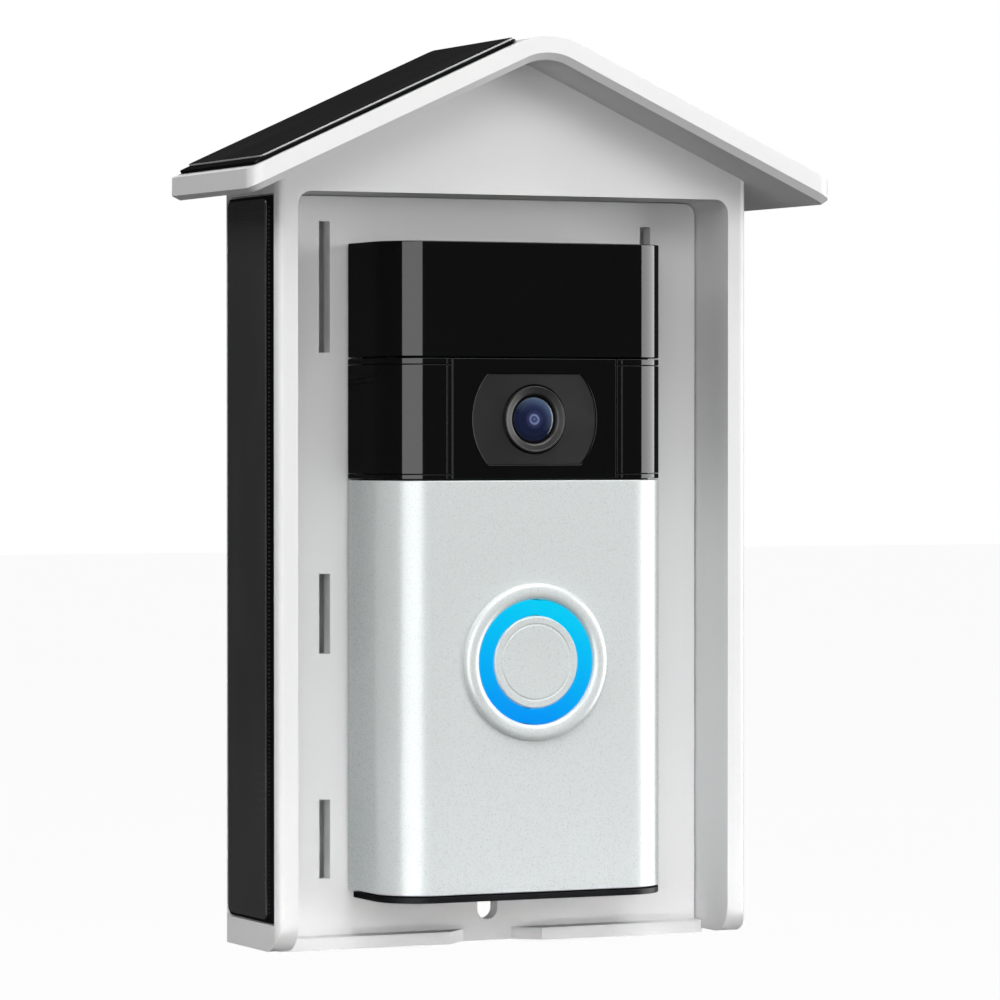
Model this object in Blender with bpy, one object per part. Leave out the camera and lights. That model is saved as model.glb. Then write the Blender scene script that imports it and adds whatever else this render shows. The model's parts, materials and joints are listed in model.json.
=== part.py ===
"""A battery video doorbell standing in its house-shaped solar shelter.

Frame: the origin is the centre of the shelter's rear face, the wall is the plane Y = 0,
the front looks towards -Y, +Z is up and +X is to the right of someone facing the doorbell.
Depths of doorbell pieces are counted backwards from the doorbell's own front face.
"""

import math

import bmesh
import bpy
from mathutils import Matrix, Vector

# Clearances
FIT = 0.0003  # between pieces that rest on or slide past each other
LAMINATE = 0.0001  # glue line between the layers of a solar panel
SEAM = 0.0003  # visible seam between the doorbell's covers
PAST = 0.001  # how far a cutter reaches beyond the faces that it opens

# Shelter: overall
WALL_WIDTH = 0.1006  # outside of the two side walls
WALL_DEPTH = 0.0257
WALL_BOTTOM = -0.0724
WALL = 0.0043
CEILING_HEIGHT = 0.0726  # underside of the recess's ceiling
SKIN = 0.0025  # gable wall and ceiling
WALL_EDGE_ROUND = 0.0018
WALL_FOOT_ROUND = 0.0055
RECESS_CORNER = 0.0028
INNER_HALF = WALL_WIDTH / 2 - WALL

# Shelter: roof
EAVE_OVERHANG = 0.0113  # past the side walls
FRONT_OVERHANG = 0.0146  # past the side walls' front
EAVE_ROOM = 0.00538  # from the ceiling to the roof's underside over a side wall's inner face
ROOF_PITCH = math.atan(0.456)
ROOF_THICKNESS = 0.0045
RIDGE_ROUND_TOP = 0.016
RIDGE_ROUND_BELOW = 0.0105
ROOF_CORNER = 0.003
ROOF_LIP = 0.0013
SLOPE = math.tan(ROOF_PITCH)
ROOF_WIDTH = WALL_WIDTH + 2 * EAVE_OVERHANG
ROOF_DEPTH = WALL_DEPTH + FRONT_OVERHANG
ROOF_RISE = INNER_HALF * SLOPE + ROOF_THICKNESS / math.cos(ROOF_PITCH)
ROOF_APEX = CEILING_HEIGHT + EAVE_ROOM + ROOF_RISE  # where the two top faces would meet

# Doorbell: overall
DOORBELL_WIDTH = 0.0600
DOORBELL_HEIGHT = 0.1264
DOORBELL_STANDOFF = 0.0220  # from its front face to the mounting plate
DOORBELL_CORNER = 0.0090
DOORBELL_TOP = DOORBELL_HEIGHT / 2
DOORBELL_BOTTOM = -DOORBELL_HEIGHT / 2
COVER_WALL = 0.0015
COVER_BACK_GAP = 0.0006
CAMERA_COVER_TOP = DOORBELL_TOP - 0.0222
FACEPLATE_TOP = DOORBELL_TOP - 0.0456

# Shelter: mounting plate
PLATE_FACE = 0.0118  # from the wall to the plate's front
PLATE_THICKNESS = 0.0032
PLATE_BOTTOM = WALL_BOTTOM - 0.0007
PLATE_CORNER = 0.0023
SLOT_OFFSET = DOORBELL_WIDTH / 2 + 0.2906 * (INNER_HALF - DOORBELL_WIDTH / 2)
SLOT_WIDTH = 0.0023
SLOT_SPANS = (
    (CEILING_HEIGHT - 0.0305, CEILING_HEIGHT - 0.0051),
    (-0.0162, -0.0007),
    (WALL_BOTTOM + 0.0126, WALL_BOTTOM + 0.0280),
)
SCREW_SLOT_WIDTH = 0.0043
SCREW_SLOT_BOTTOM = WALL_BOTTOM + 0.0034
SCREW_SLOT_TOP = WALL_BOTTOM + 0.0164
UPPER_SLOT_BOTTOM = CEILING_HEIGHT - 0.0188
UPPER_SLOT_TOP = CEILING_HEIGHT - 0.0126
WIRE_WINDOW = (0.0080, -0.0240, -0.0080)  # half width, bottom, top
WIRE_WINDOW_CORNER = 0.0020
LEDGE_DEPTH = 0.0043
LEDGE_THICKNESS = 0.0024
LEDGE_GAP_FRONT = 0.0099
LEDGE_GAP_BACK = 0.0052
LEDGE_END_ROUND = 0.0015

# Fasteners
SCREW_HEAD = 0.0026
SCREW_SHANK = 0.0013
SECURITY_HEAD = 0.0016
SECURITY_SHANK = 0.0008
SECURITY_DEPTH = 0.0045
SECURITY_HEAD_TOP = 0.0007
SECURITY_BOSS = (0.0030, 0.0060)  # half width and height
PILOT_CLEARANCE = 0.0002

# Shelter: rear
FLANGE_THICKNESS = 0.0020
FLANGE_WIDTH = 0.0065
SEAT_ABOVE = 0.0040  # the flange above the mounting plate's opening
COVER_THICKNESS = 0.0020
COVER_SEAT = 0.0006  # thickness left under the head of a cover screw
SILL = 0.0020
REAR_NOTCH = (0.0090, 0.0160)  # half width and height of the way to the lower screw slot
UPPER_SLOT_MARGIN = 0.0025
COVER_SCREW_X = INNER_HALF - SCREW_HEAD - 0.0010
COVER_SCREW_HEIGHTS = (CEILING_HEIGHT - 0.0106, WALL_BOTTOM + 0.0084)
COVER_SCREW_BITE = 0.0014  # how far a cover screw goes into the mounting plate
COVER_BOSS = SCREW_HEAD + 0.0007

# Solar panels
PANEL_BASE = 0.0006
PANEL_CELL = 0.00035
ROOF_PANEL_TOP = 0.0060  # from the centre plane to the panel's upper edge
ROOF_PANEL_EAVE = 0.0014  # from the eave to the panel's lower edge
ROOF_PANEL_FRONT = 0.0014
ROOF_PANEL_REAR = 0.0004
ROOF_CELL_EAVE = 0.0019
ROOF_CELL_EDGE = 0.0003
ROOF_PANEL_SINK = (0.0, 0.0008)  # left slope, right slope
SIDE_PANEL_SINK = 0.0009
SIDE_PANEL_TOP = CEILING_HEIGHT - 0.0008
SIDE_PANEL_BOTTOM = WALL_BOTTOM + 0.0055
SIDE_PANEL_FRONT = 0.0020  # behind the wall's front
SIDE_PANEL_REAR = 0.0006
SIDE_CELL_FRONT = 0.0034
SIDE_CELL_EDGE = 0.0006

# Charger in the rear space
BOARD_THICKNESS = 0.0012
BOARD_HALF_WIDTH = 0.0180
BOARD_BOTTOM = 0.0200
BOARD_TOP = 0.0450
BOARD_STANDOFF = 0.0008
INDUCTOR = (0.0060, 0.0024, 0.0060)
CHIP = (0.0050, 0.0009, 0.0050)
INDUCTOR_PLACE = (-0.0080, 0.0320)
CHIP_PLACE = (0.0070, 0.0320)
LEAD_RADIUS = 0.0006
LEAD_HOLE = 0.0012
LEAD_HOLE_LENGTH = 0.010
ROOF_LEAD_X = 0.0200
ROOF_LEAD_Y = -0.0120
SIDE_LEAD_HEIGHT = 0.0380
TERMINAL_SPACING = 0.0120

# Doorbell: chassis and bracket
CHASSIS_WALL = 0.0015
CHASSIS_FRONT = 0.0082
CHASSIS_BACK = DOORBELL_STANDOFF - 0.0032
CHASSIS_BACK_WALL = 0.0016
FLOOR_THICKNESS = 0.0011
SEAL_WIDTH = 0.0012
SEAL_THICKNESS = 0.0007
SEAL_INSET = 0.0004
BRACKET_HALF_WIDTH = DOORBELL_WIDTH / 2 - 0.0035
BRACKET_HALF_HEIGHT = DOORBELL_HEIGHT / 2 - 0.0037
BRACKET_CORNER = 0.0050
BRACKET_SEAT = 0.0014  # depth of the counterbore for a bracket screw
BRACKET_SCREW_HEIGHT = DOORBELL_HEIGHT / 2 - 0.0132
TERMINAL_HEIGHT = -0.0200
USB_HEIGHT = 0.0060
USB_SIZE = (0.0090, 0.0060, 0.0034)
USB_RIM = 0.0006
SETUP_HEIGHT = 0.0190
SETUP_RADIUS = 0.0025
SETUP_LENGTH = 0.0022
TERMINAL_BITE = 0.0020  # how far a terminal screw goes into the chassis

# Doorbell: main board
MAIN_BOARD_FRONT = CHASSIS_BACK - 0.0045
MAIN_BOARD_THICKNESS = 0.0012
MAIN_BOARD_HALF_WIDTH = DOORBELL_WIDTH / 2 - 0.0060
MAIN_BOARD_BOTTOM = -0.0050
MAIN_BOARD_TOP = DOORBELL_TOP - 0.0047

# Doorbell: camera
CAMERA_HEIGHT = (CAMERA_COVER_TOP + FACEPLATE_TOP) / 2 - 0.0001
WINDOW_HALF_WIDTH = 0.29 * DOORBELL_WIDTH
WINDOW_RECESS = 0.0011
WINDOW_THICKNESS = 0.0007
WINDOW_SET_BACK = 0.0001
SURROUND_RADIUS = WINDOW_HALF_WIDTH * 0.753
SURROUND_HALF_HEIGHT = 0.0087
LENS_RING_RADIUS = 0.0064
LENS_RING_PROUD = 0.0002
LENS_RING_EDGE = 0.0004
LENS_RING_LIP = 0.0009
RING_CLEARANCE = 0.0008  # around the lens ring in the cover behind the window
LENS_RADIUS = 0.0044
LENS_FRONT = 0.0004
LENS_BULGE = 0.0009
LENS_BACK = 0.0028
BARREL_RADIUS = 0.0060
BARREL_FRONT = 0.0031
BARREL_BACK = MAIN_BOARD_FRONT - 0.0027
CAMERA_BOARD = (0.4 * DOORBELL_WIDTH, 0.0200)
CAMERA_BOARD_THICKNESS = 0.0010
IR_LED_OFFSET = WINDOW_HALF_WIDTH * 0.563
IR_LED_RADIUS = 0.0012
IR_LED_BACK = 0.0034

# Doorbell: button
BUTTON_HEIGHT = (FACEPLATE_TOP + DOORBELL_BOTTOM) / 2 + 0.0053
RING_OUTER = 0.0119
RING_INNER = RING_OUTER - 0.0028
RING_PROUD = 0.0006
BEZEL_RADIUS = RING_OUTER + 0.0033
BEZEL_NECK = RING_OUTER + 0.0021
BEZEL_PROUD = 0.0012
BEZEL_BACK = 0.0030
BUTTON_GAP = 0.00015  # around the light ring and the cap
CAP_PROUD = 0.0005
CAP_THICKNESS = 0.0016
CAP_GROOVE = RING_INNER - 0.0018
CAP_EDGE = 0.0002
BUTTON_TRAVEL = 0.0006
STEM_TRAVEL = 0.00025
POST_RADIUS = 0.0022
POST_END = 0.0024
CUSHION_BACK = 0.0027
STEM_RADIUS = 0.0015
STEM_LENGTH = 0.00135
STEM_SHOWING = 0.00055
SWITCH_SIDE = 0.0060
SWITCH_HEIGHT = 0.0018
LIGHT_BOARD_RADIUS = RING_OUTER + 0.0011
LIGHT_BOARD_THICKNESS = 0.0009

# Doorbell: other inner parts
BATTERY_FRONT = 0.0085
BATTERY_CLEARANCE = 0.0007
BATTERY_WIDTH = DOORBELL_WIDTH - 0.0160
BATTERY_TOP = MAIN_BOARD_BOTTOM - 0.0046
SPEAKER_ROOM = BUTTON_HEIGHT - LIGHT_BOARD_RADIUS - DOORBELL_BOTTOM
SPEAKER_RADIUS = 0.275 * SPEAKER_ROOM
SPEAKER_HEIGHT = DOORBELL_BOTTOM + 0.556 * SPEAKER_ROOM
SPEAKER_RIM = 0.0042
SPEAKER_BACK = 0.0066
MICROPHONE = (0.0040, 0.0014, 0.0030)
MICROPHONE_PLACE = (0.0160, DOORBELL_BOTTOM + 0.0087)
MOTION_HEIGHT = DOORBELL_TOP - 0.0112
MOTION_LENS = (0.4 * DOORBELL_WIDTH, 0.0010, 0.0160)
MOTION_RADIUS = 0.0042

SIDES = (("left", -1), ("right", 1))

# Smoothness of round faces
FINE = 48
ROUND = 32
COARSE = 16

FRONT = -(PLATE_FACE + DOORBELL_STANDOFF)
PLATE_BACK = -(PLATE_FACE - PLATE_THICKNESS)
FLANGE_FRONT = PLATE_BACK + FIT
FLANGE_BACK = FLANGE_FRONT + FLANGE_THICKNESS
COVER_FRONT = -COVER_THICKNESS


def depth(distance):
    """Y of a point this far behind the doorbell's front face."""
    return FRONT + distance


def roof_line(x, below=0.0):
    """Height of the roof's top plane over x, lowered square to the slope by below."""
    return ROOF_APEX - abs(x) * SLOPE - below / math.cos(ROOF_PITCH)


# ---------------------------------------------------------------- tools


def clear_scene():
    """Remove every object that is in the scene."""
    for thing in list(bpy.data.objects):
        bpy.data.objects.remove(thing, do_unlink=True)


def material(name, colour, roughness, metallic=0.0):
    """Principled material, made once for each name."""
    found = bpy.data.materials.get(name)
    if found:
        return found
    made = bpy.data.materials.new(name)
    made.use_nodes = True
    shader = made.node_tree.nodes["Principled BSDF"]
    shader.inputs["Base Color"].default_value = (*colour, 1.0)
    shader.inputs["Roughness"].default_value = roughness
    shader.inputs["Metallic"].default_value = metallic
    made.diffuse_color = (*colour, 1.0)
    return made


WHITE_PLASTIC = ("white_plastic", (0.83, 0.83, 0.83), 0.45)
BLACK_GLOSS = ("black_gloss", (0.008, 0.008, 0.009), 0.08)
BLACK_PLASTIC = ("black_plastic", (0.02, 0.02, 0.02), 0.5)
DARK_PLATE = ("dark_plate", (0.025, 0.025, 0.027), 0.3)
SILVER_PAINT = ("silver_paint", (0.68, 0.71, 0.71), 0.35, 0.2)
SOLAR_CELL = ("solar_cell", (0.012, 0.013, 0.016), 0.15)
PANEL_BLACK = ("panel_black", (0.01, 0.01, 0.011), 0.35)
LENS_GLASS = ("lens_glass", (0.02, 0.05, 0.13), 0.05)
LIGHT_BLUE = ("light_blue", (0.0, 0.42, 0.95), 0.3)
BOARD_GREEN = ("board_green", (0.02, 0.16, 0.07), 0.5)
STEEL = ("steel", (0.55, 0.55, 0.56), 0.3, 1.0)
RUBBER = ("rubber", (0.03, 0.03, 0.03), 0.8)
BATTERY_WRAP = ("battery_wrap", (0.05, 0.16, 0.42), 0.4)
LEAD_RED = ("lead_red", (0.45, 0.02, 0.02), 0.5)
LEAD_BLACK = ("lead_black", (0.02, 0.02, 0.02), 0.5)
SETUP_ORANGE = ("setup_orange", (0.9, 0.3, 0.03), 0.4)
MILKY = ("milky_lens", (0.8, 0.8, 0.78), 0.4)
BRASS = ("brass", (0.7, 0.5, 0.22), 0.3, 1.0)


def add(name, bm, finish, smooth=False):
    """Link a bmesh as a new object with its own material and return the object."""
    bmesh.ops.recalc_face_normals(bm, faces=bm.faces)
    mesh = bpy.data.meshes.new(name)
    bm.to_mesh(mesh)
    bm.free()
    thing = bpy.data.objects.new(name, mesh)
    bpy.context.scene.collection.objects.link(thing)
    if finish:
        mesh.materials.append(material(*finish))
    if smooth:
        mesh.shade_smooth()
        mesh.set_sharp_from_angle(angle=math.radians(32))
    return thing


def cutter(name, bm):
    """Add a hidden helper that a Boolean takes away or joins on."""
    tool = add(name, bm, None)
    tool.hide_render = True
    tool.display_type = "WIRE"
    return tool


def boolean(thing, tool, operation="DIFFERENCE"):
    """Give a piece a live Boolean with a helper."""
    step = thing.modifiers.new(f"{operation.lower()}_{tool.name}", "BOOLEAN")
    step.operation = operation
    step.solver = "EXACT"
    step.object = tool


def rounded(corners, steps=6):
    """Outline through corners (u, v, radius), each with an arc of this many chords."""
    points = []
    for index, (u, v, radius) in enumerate(corners):
        here = Vector((u, v))
        if radius <= 0.0:
            points.append(here)
            continue
        back = (Vector(corners[index - 1][:2]) - here).normalized()
        ahead = (Vector(corners[(index + 1) % len(corners)][:2]) - here).normalized()
        half = back.angle(ahead) / 2
        centre = here + (back + ahead).normalized() * radius / math.sin(half)
        first = here + back * radius / math.tan(half) - centre
        last = here + ahead * radius / math.tan(half) - centre
        sweep = first.angle_signed(last)
        for step in range(steps + 1):
            points.append(centre + Matrix.Rotation(-sweep * step / steps, 2) @ first)
    return points


def prism(outline, axis, low, high):
    """Extrude an outline along an axis; u, v are the two other axes in X, Y, Z order."""
    seat = {
        "X": lambda u, v: (low, u, v),
        "Y": lambda u, v: (u, low, v),
        "Z": lambda u, v: (u, v, low),
    }[axis]
    bm = bmesh.new()
    face = bm.faces.new([bm.verts.new(seat(u, v)) for u, v in outline])
    raised = bmesh.ops.extrude_face_region(bm, geom=[face])["geom"]
    shift = Vector([high - low if axis == name else 0.0 for name in "XYZ"])
    moved = [part for part in raised if isinstance(part, bmesh.types.BMVert)]
    bmesh.ops.translate(bm, vec=shift, verts=moved)
    return bm


def plate_outline(half_width, low, high, radius=0.0):
    """Upright rectangle about the centre plane with rounded corners."""
    return rounded(
        [
            (-half_width, low, radius),
            (half_width, low, radius),
            (half_width, high, radius),
            (-half_width, high, radius),
        ]
    )


def block(low, high):
    """Box between two corners."""
    bm = bmesh.new()
    bmesh.ops.create_cube(bm, size=1.0)
    size = [b - a for a, b in zip(low, high)]
    middle = [(a + b) / 2 for a, b in zip(low, high)]
    bmesh.ops.scale(bm, vec=size, verts=bm.verts)
    bmesh.ops.translate(bm, vec=middle, verts=bm.verts)
    return bm


def turned(profile, centre, steps):
    """Turn a profile of (radius, y) about the line along Y through centre (x, z)."""
    bm = bmesh.new()
    verts = [bm.verts.new((radius, y, 0.0)) for radius, y in profile]
    edges = [bm.edges.new(pair) for pair in zip(verts, verts[1:])]
    closed = min(profile[0][0], profile[-1][0]) > 0.0
    if closed:
        edges.append(bm.edges.new((verts[-1], verts[0])))
    bmesh.ops.spin(
        bm,
        geom=verts + edges,
        cent=(0, 0, 0),
        axis=(0, 1, 0),
        angle=math.tau,
        steps=steps,
        use_merge=True,
    )
    bmesh.ops.remove_doubles(bm, verts=bm.verts, dist=1e-7)
    bmesh.ops.translate(bm, vec=(centre[0], 0.0, centre[1]), verts=bm.verts)
    return bm


def disc(radius, front, back, centre, steps=ROUND):
    """Round bar along Y."""
    return turned([(0.0, front), (radius, front), (radius, back), (0.0, back)], centre, steps)


def collar(inner, outer, front, back, centre, steps=ROUND):
    """Round tube along Y."""
    return turned([(inner, front), (outer, front), (outer, back), (inner, back)], centre, steps)


def mirrored(x_value):
    """The same x on the left and on the right."""
    return [(name, side * x_value) for name, side in SIDES]


def upright(radius, low, high, centre, steps=COARSE):
    """Round bar along Z about centre (x, y)."""
    bm = bmesh.new()
    bmesh.ops.create_cone(
        bm, cap_ends=True, segments=steps, radius1=radius, radius2=radius, depth=high - low
    )
    bmesh.ops.translate(bm, vec=(*centre, (low + high) / 2), verts=bm.verts)
    return bm


# ---------------------------------------------------------------- shelter


def roof_outline():
    """Chevron between the roof's top faces and its lower faces, with a rounded ridge."""
    half = ROOF_WIDTH / 2
    top = roof_line(half)
    below = roof_line(half, ROOF_THICKNESS)
    return rounded(
        [
            (-half, below, 0.0),
            (0.0, roof_line(0.0, ROOF_THICKNESS), RIDGE_ROUND_BELOW),
            (half, below, 0.0),
            (half, top, 0.0),
            (0.0, roof_line(0.0), RIDGE_ROUND_TOP),
            (-half, top, 0.0),
        ],
        steps=10,
    )


def roof_slab():
    """Roof with rounded ridge, rounded front corners and a chamfered lower front edge."""
    bm = prism(roof_outline(), "Y", -ROOF_DEPTH, 0.0)
    eave = ROOF_WIDTH / 2
    near = 1e-6

    def at_front_corner(edge):
        return all(
            abs(abs(v.co.x) - eave) < near and abs(v.co.y + ROOF_DEPTH) < near for v in edge.verts
        )

    bmesh.ops.bevel(
        bm,
        geom=[edge for edge in bm.edges if at_front_corner(edge)],
        offset=ROOF_CORNER,
        offset_type="OFFSET",
        affect="EDGES",
        segments=5,
        profile=0.5,
        material=-1,
    )

    def on_lower_rim(edge):
        low = all(
            abs(v.co.z - roof_line(v.co.x, ROOF_THICKNESS)) < 10 * near
            or abs(v.co.x) < RIDGE_ROUND_BELOW
            and v.co.z < ROOF_APEX - ROOF_THICKNESS
            for v in edge.verts
        )
        turns = len(edge.link_faces) == 2 and edge.calc_face_angle() > math.radians(50)
        ahead = all(v.co.y < -near for v in edge.verts)
        return low and turns and (ahead or abs(edge.verts[0].co.x) > eave - near)

    bmesh.ops.bevel(
        bm,
        geom=[edge for edge in bm.edges if on_lower_rim(edge)],
        offset=ROOF_LIP,
        offset_type="OFFSET",
        affect="EDGES",
        segments=1,
        profile=0.5,
        material=-1,
    )
    return bm


def foot_cutter(low_x, high_x):
    """What rounding the walls' lower front corner takes away."""
    front, foot, radius = -WALL_DEPTH, WALL_BOTTOM, WALL_FOOT_ROUND
    reach = 2 * PAST
    arc = [
        (front + radius * (1 - math.cos(a)), foot + radius * (1 - math.sin(a)))
        for a in (math.pi / 2 * step / 8 for step in range(9))
    ]
    outline = arc + [(front + radius, foot - reach), (front - reach, foot - reach)]
    outline.append((front - reach, foot + radius))
    return prism(outline, "X", low_x, high_x)


def house_outline(half, low, top_drop):
    """Rear outline of the house: upright sides below the two slopes."""
    return [
        (-half, low),
        (half, low),
        (half, roof_line(half, top_drop)),
        (0.0, roof_line(0.0, top_drop)),
        (-half, roof_line(half, top_drop)),
    ]


def roof_recess(side, sink):
    """Pocket in one slope that its solar panel sits in."""
    corners = roof_panel_corners(FIT)
    return slope_box(side, corners, -sink, ROOF_THICKNESS)


def roof_panel_corners(grow=0.0):
    """(inner x, outer x, front y, rear y) of a roof panel's base."""
    outer = ROOF_WIDTH / 2 - ROOF_PANEL_EAVE + grow
    inner = ROOF_PANEL_TOP - grow
    front = -ROOF_DEPTH + ROOF_PANEL_FRONT - grow
    rear = -ROOF_PANEL_REAR + grow
    return inner, outer, front, rear


def slope_box(side, corners, low, high):
    """Box lying on one slope, between two offsets square to the slope."""
    inner, outer, front, rear = corners
    shift = math.sin(ROOF_PITCH)
    rise = math.cos(ROOF_PITCH)
    outline = []
    for x, offset in ((inner, low), (outer, low), (outer, high), (inner, high)):
        outline.append((side * (x + offset * shift), roof_line(x) + offset * rise))
    return prism(outline, "Y", front, rear)


def shelter_shell():
    """Roof, gable and side walls in one moulding, open to the front, the foot and the rear."""
    half = WALL_WIDTH / 2
    plan = rounded(
        [
            (-half, 0.0, 0.0),
            (-half, -WALL_DEPTH, WALL_EDGE_ROUND),
            (half, -WALL_DEPTH, WALL_EDGE_ROUND),
            (half, 0.0, 0.0),
        ],
        steps=4,
    )
    walls = prism(plan, "Z", WALL_BOTTOM, ROOF_APEX + PAST)
    shell = add("shelter_shell", walls, WHITE_PLASTIC, True)
    boolean(shell, cutter("cut_sky", sky_cutter()))
    boolean(shell, cutter("join_roof", roof_slab()), "UNION")
    recess = rounded(
        [
            (-INNER_HALF, WALL_BOTTOM - PAST, 0.0),
            (INNER_HALF, WALL_BOTTOM - PAST, 0.0),
            (INNER_HALF, CEILING_HEIGHT, RECESS_CORNER),
            (-INNER_HALF, CEILING_HEIGHT, RECESS_CORNER),
        ]
    )
    boolean(shell, cutter("cut_recess", prism(recess, "Y", -WALL_DEPTH - PAST, FLANGE_FRONT)))
    rear = house_outline(INNER_HALF, WALL_BOTTOM + SILL, ROOF_THICKNESS)
    boolean(shell, cutter("cut_rear_space", prism(rear, "Y", FLANGE_BACK, PAST)))
    way = plate_outline(INNER_HALF - FLANGE_WIDTH, WALL_BOTTOM + SILL, CEILING_HEIGHT - SEAT_ABOVE)
    boolean(shell, cutter("cut_flange", prism(way, "Y", FLANGE_FRONT - PAST, FLANGE_BACK + PAST)))
    attic = house_outline(INNER_HALF, CEILING_HEIGHT + SKIN, ROOF_THICKNESS)
    boolean(shell, cutter("cut_attic", prism(attic, "Y", -WALL_DEPTH + SKIN, FLANGE_BACK + PAST)))
    boolean(shell, cutter("cut_foot_left", foot_cutter(-half - PAST, -INNER_HALF + PAST)))
    boolean(shell, cutter("cut_foot_right", foot_cutter(INNER_HALF - PAST, half + PAST)))
    shell_bosses(shell)
    for name, side in SIDES:
        panel_seats(shell, name, side)
    return shell


def sky_cutter():
    """All that lies above the middle of the roof's thickness."""
    far = ROOF_WIDTH
    middle = ROOF_THICKNESS / 2
    low = roof_line(far, middle)
    high = ROOF_APEX + 2 * PAST
    outline = [(-far, low), (0.0, roof_line(0.0, middle)), (far, low), (far, high), (-far, high)]
    return prism(outline, "Y", -WALL_DEPTH - PAST, PAST)


def shell_bosses(shell):
    """Bosses on the flange that the cover screws pass through."""
    for name, x in mirrored(COVER_SCREW_X):
        for index, z in enumerate(COVER_SCREW_HEIGHTS):
            boss = disc(COVER_BOSS, FLANGE_FRONT + FIT, COVER_FRONT - FIT, (x, z), COARSE)
            boolean(shell, cutter(f"join_boss_{name}_{index}", boss), "UNION")
    for name, x in mirrored(COVER_SCREW_X):
        for index, z in enumerate(COVER_SCREW_HEIGHTS):
            hole = disc(SCREW_SHANK + PILOT_CLEARANCE, FLANGE_FRONT - FIT, COVER_FRONT + FIT, (x, z), COARSE)
            boolean(shell, cutter(f"cut_boss_{name}_{index}", hole))


def panel_seats(shell, name, side):
    """Pockets for the roof panel and the side panel of one side, with the holes for their leads."""
    sink = ROOF_PANEL_SINK[side > 0]
    if sink:
        boolean(shell, cutter(f"cut_roof_pocket_{name}", roof_recess(side, sink)))
    high = roof_line(ROOF_LEAD_X) + PAST
    low = high - LEAD_HOLE_LENGTH
    down = upright(LEAD_HOLE, low, high, (side * ROOF_LEAD_X, ROOF_LEAD_Y), COARSE // 2)
    boolean(shell, cutter(f"cut_roof_lead_{name}", down))
    half = WALL_WIDTH / 2
    face = half - SIDE_PANEL_SINK
    limits = (
        -WALL_DEPTH + SIDE_PANEL_FRONT - FIT,
        -SIDE_PANEL_REAR + FIT,
        SIDE_PANEL_BOTTOM - FIT,
        SIDE_PANEL_TOP + FIT,
    )
    pocket = side_sheet(side, face, SIDE_PANEL_SINK + PAST, limits)
    boolean(shell, cutter(f"cut_side_pocket_{name}", pocket))
    run = disc(LEAD_HOLE, 0.0, LEAD_HOLE_LENGTH, (0.0, 0.0), COARSE // 2)
    turn = Matrix.Rotation(math.pi / 2, 3, "Z")
    bmesh.ops.rotate(run, cent=(0, 0, 0), matrix=turn, verts=run.verts)
    place = (side * half + LEAD_HOLE_LENGTH / 2, side_lead_depth(), SIDE_LEAD_HEIGHT)
    bmesh.ops.translate(run, vec=place, verts=run.verts)
    boolean(shell, cutter(f"cut_side_lead_{name}", run))


def side_lead_depth():
    """Y of the side leads, in the middle of the space behind the flange."""
    return (FLANGE_BACK + COVER_FRONT) / 2


def ledge_outline(side):
    """Plan of one half of the plate's ledge, with the slanted inner end."""
    outer = INNER_HALF - FIT
    back = -PLATE_FACE + PAST
    front = -PLATE_FACE - LEDGE_DEPTH
    return [
        (side * u, v)
        for u, v in rounded(
            [
                (LEDGE_GAP_BACK - PAST, back, 0.0),
                (LEDGE_GAP_BACK, -PLATE_FACE, 0.0),
                (LEDGE_GAP_FRONT, front, 0.0),
                (outer, front, LEDGE_END_ROUND),
                (outer, back, 0.0),
            ]
        )
    ]


def mounting_plate():
    """Back plate of the recess, with its slots, screw slots, wire window and split ledge."""
    outer = INNER_HALF - FIT
    corners = [
        (-outer, PLATE_BOTTOM, 0.0),
        (outer, PLATE_BOTTOM, 0.0),
        (outer, CEILING_HEIGHT - FIT, PLATE_CORNER),
        (-outer, CEILING_HEIGHT - FIT, PLATE_CORNER),
    ]
    sheet = prism(rounded(corners), "Y", -PLATE_FACE, PLATE_BACK)
    plate = add("mounting_plate", sheet, WHITE_PLASTIC, True)
    near = -PLATE_FACE - PAST
    far = PLATE_BACK + PAST
    pilot_radius = SCREW_SHANK + PILOT_CLEARANCE
    for name, side in SIDES:
        ledge = prism(ledge_outline(side), "Z", PLATE_BOTTOM, PLATE_BOTTOM + LEDGE_THICKNESS)
        boolean(plate, cutter(f"join_ledge_{name}", ledge), "UNION")
        x = side * SLOT_OFFSET
        for index, (low, high) in enumerate(SLOT_SPANS):
            slot = block((x - SLOT_WIDTH / 2, near, low), (x + SLOT_WIDTH / 2, far, high))
            boolean(plate, cutter(f"cut_slot_{name}_{index}", slot))
        for index, z in enumerate(COVER_SCREW_HEIGHTS):
            start = PLATE_BACK - PLATE_THICKNESS * 0.7
            pilot = disc(pilot_radius, start, far, (side * COVER_SCREW_X, z), COARSE)
            boolean(plate, cutter(f"cut_pilot_{name}_{index}", pilot))
    for name, low, high in screw_slots():
        boolean(plate, cutter(f"cut_plate_{name}", screw_slot(low, high, near, far)))
    window = prism(plate_outline(*WIRE_WINDOW, WIRE_WINDOW_CORNER), "Y", near, far)
    boolean(plate, cutter("cut_wire_window", window))
    for index, z in enumerate((BRACKET_SCREW_HEIGHT, -BRACKET_SCREW_HEIGHT)):
        hole = disc(pilot_radius, near, far, (0.0, z), COARSE)
        boolean(plate, cutter(f"cut_bracket_pilot_{index}", hole))
    return plate


def screw_slots():
    """(name, low end, high end) of the slots that take the wall screws."""
    return (
        ("lower_slot", SCREW_SLOT_BOTTOM, SCREW_SLOT_TOP),
        ("upper_slot", UPPER_SLOT_BOTTOM, UPPER_SLOT_TOP),
    )


def screw_slot(low, high, front, back, grow=0.0):
    """Upright slot with round ends."""
    half = SCREW_SLOT_WIDTH / 2 + grow
    return prism(plate_outline(half, low - grow, high + grow, half * 0.98), "Y", front, back)


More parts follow.
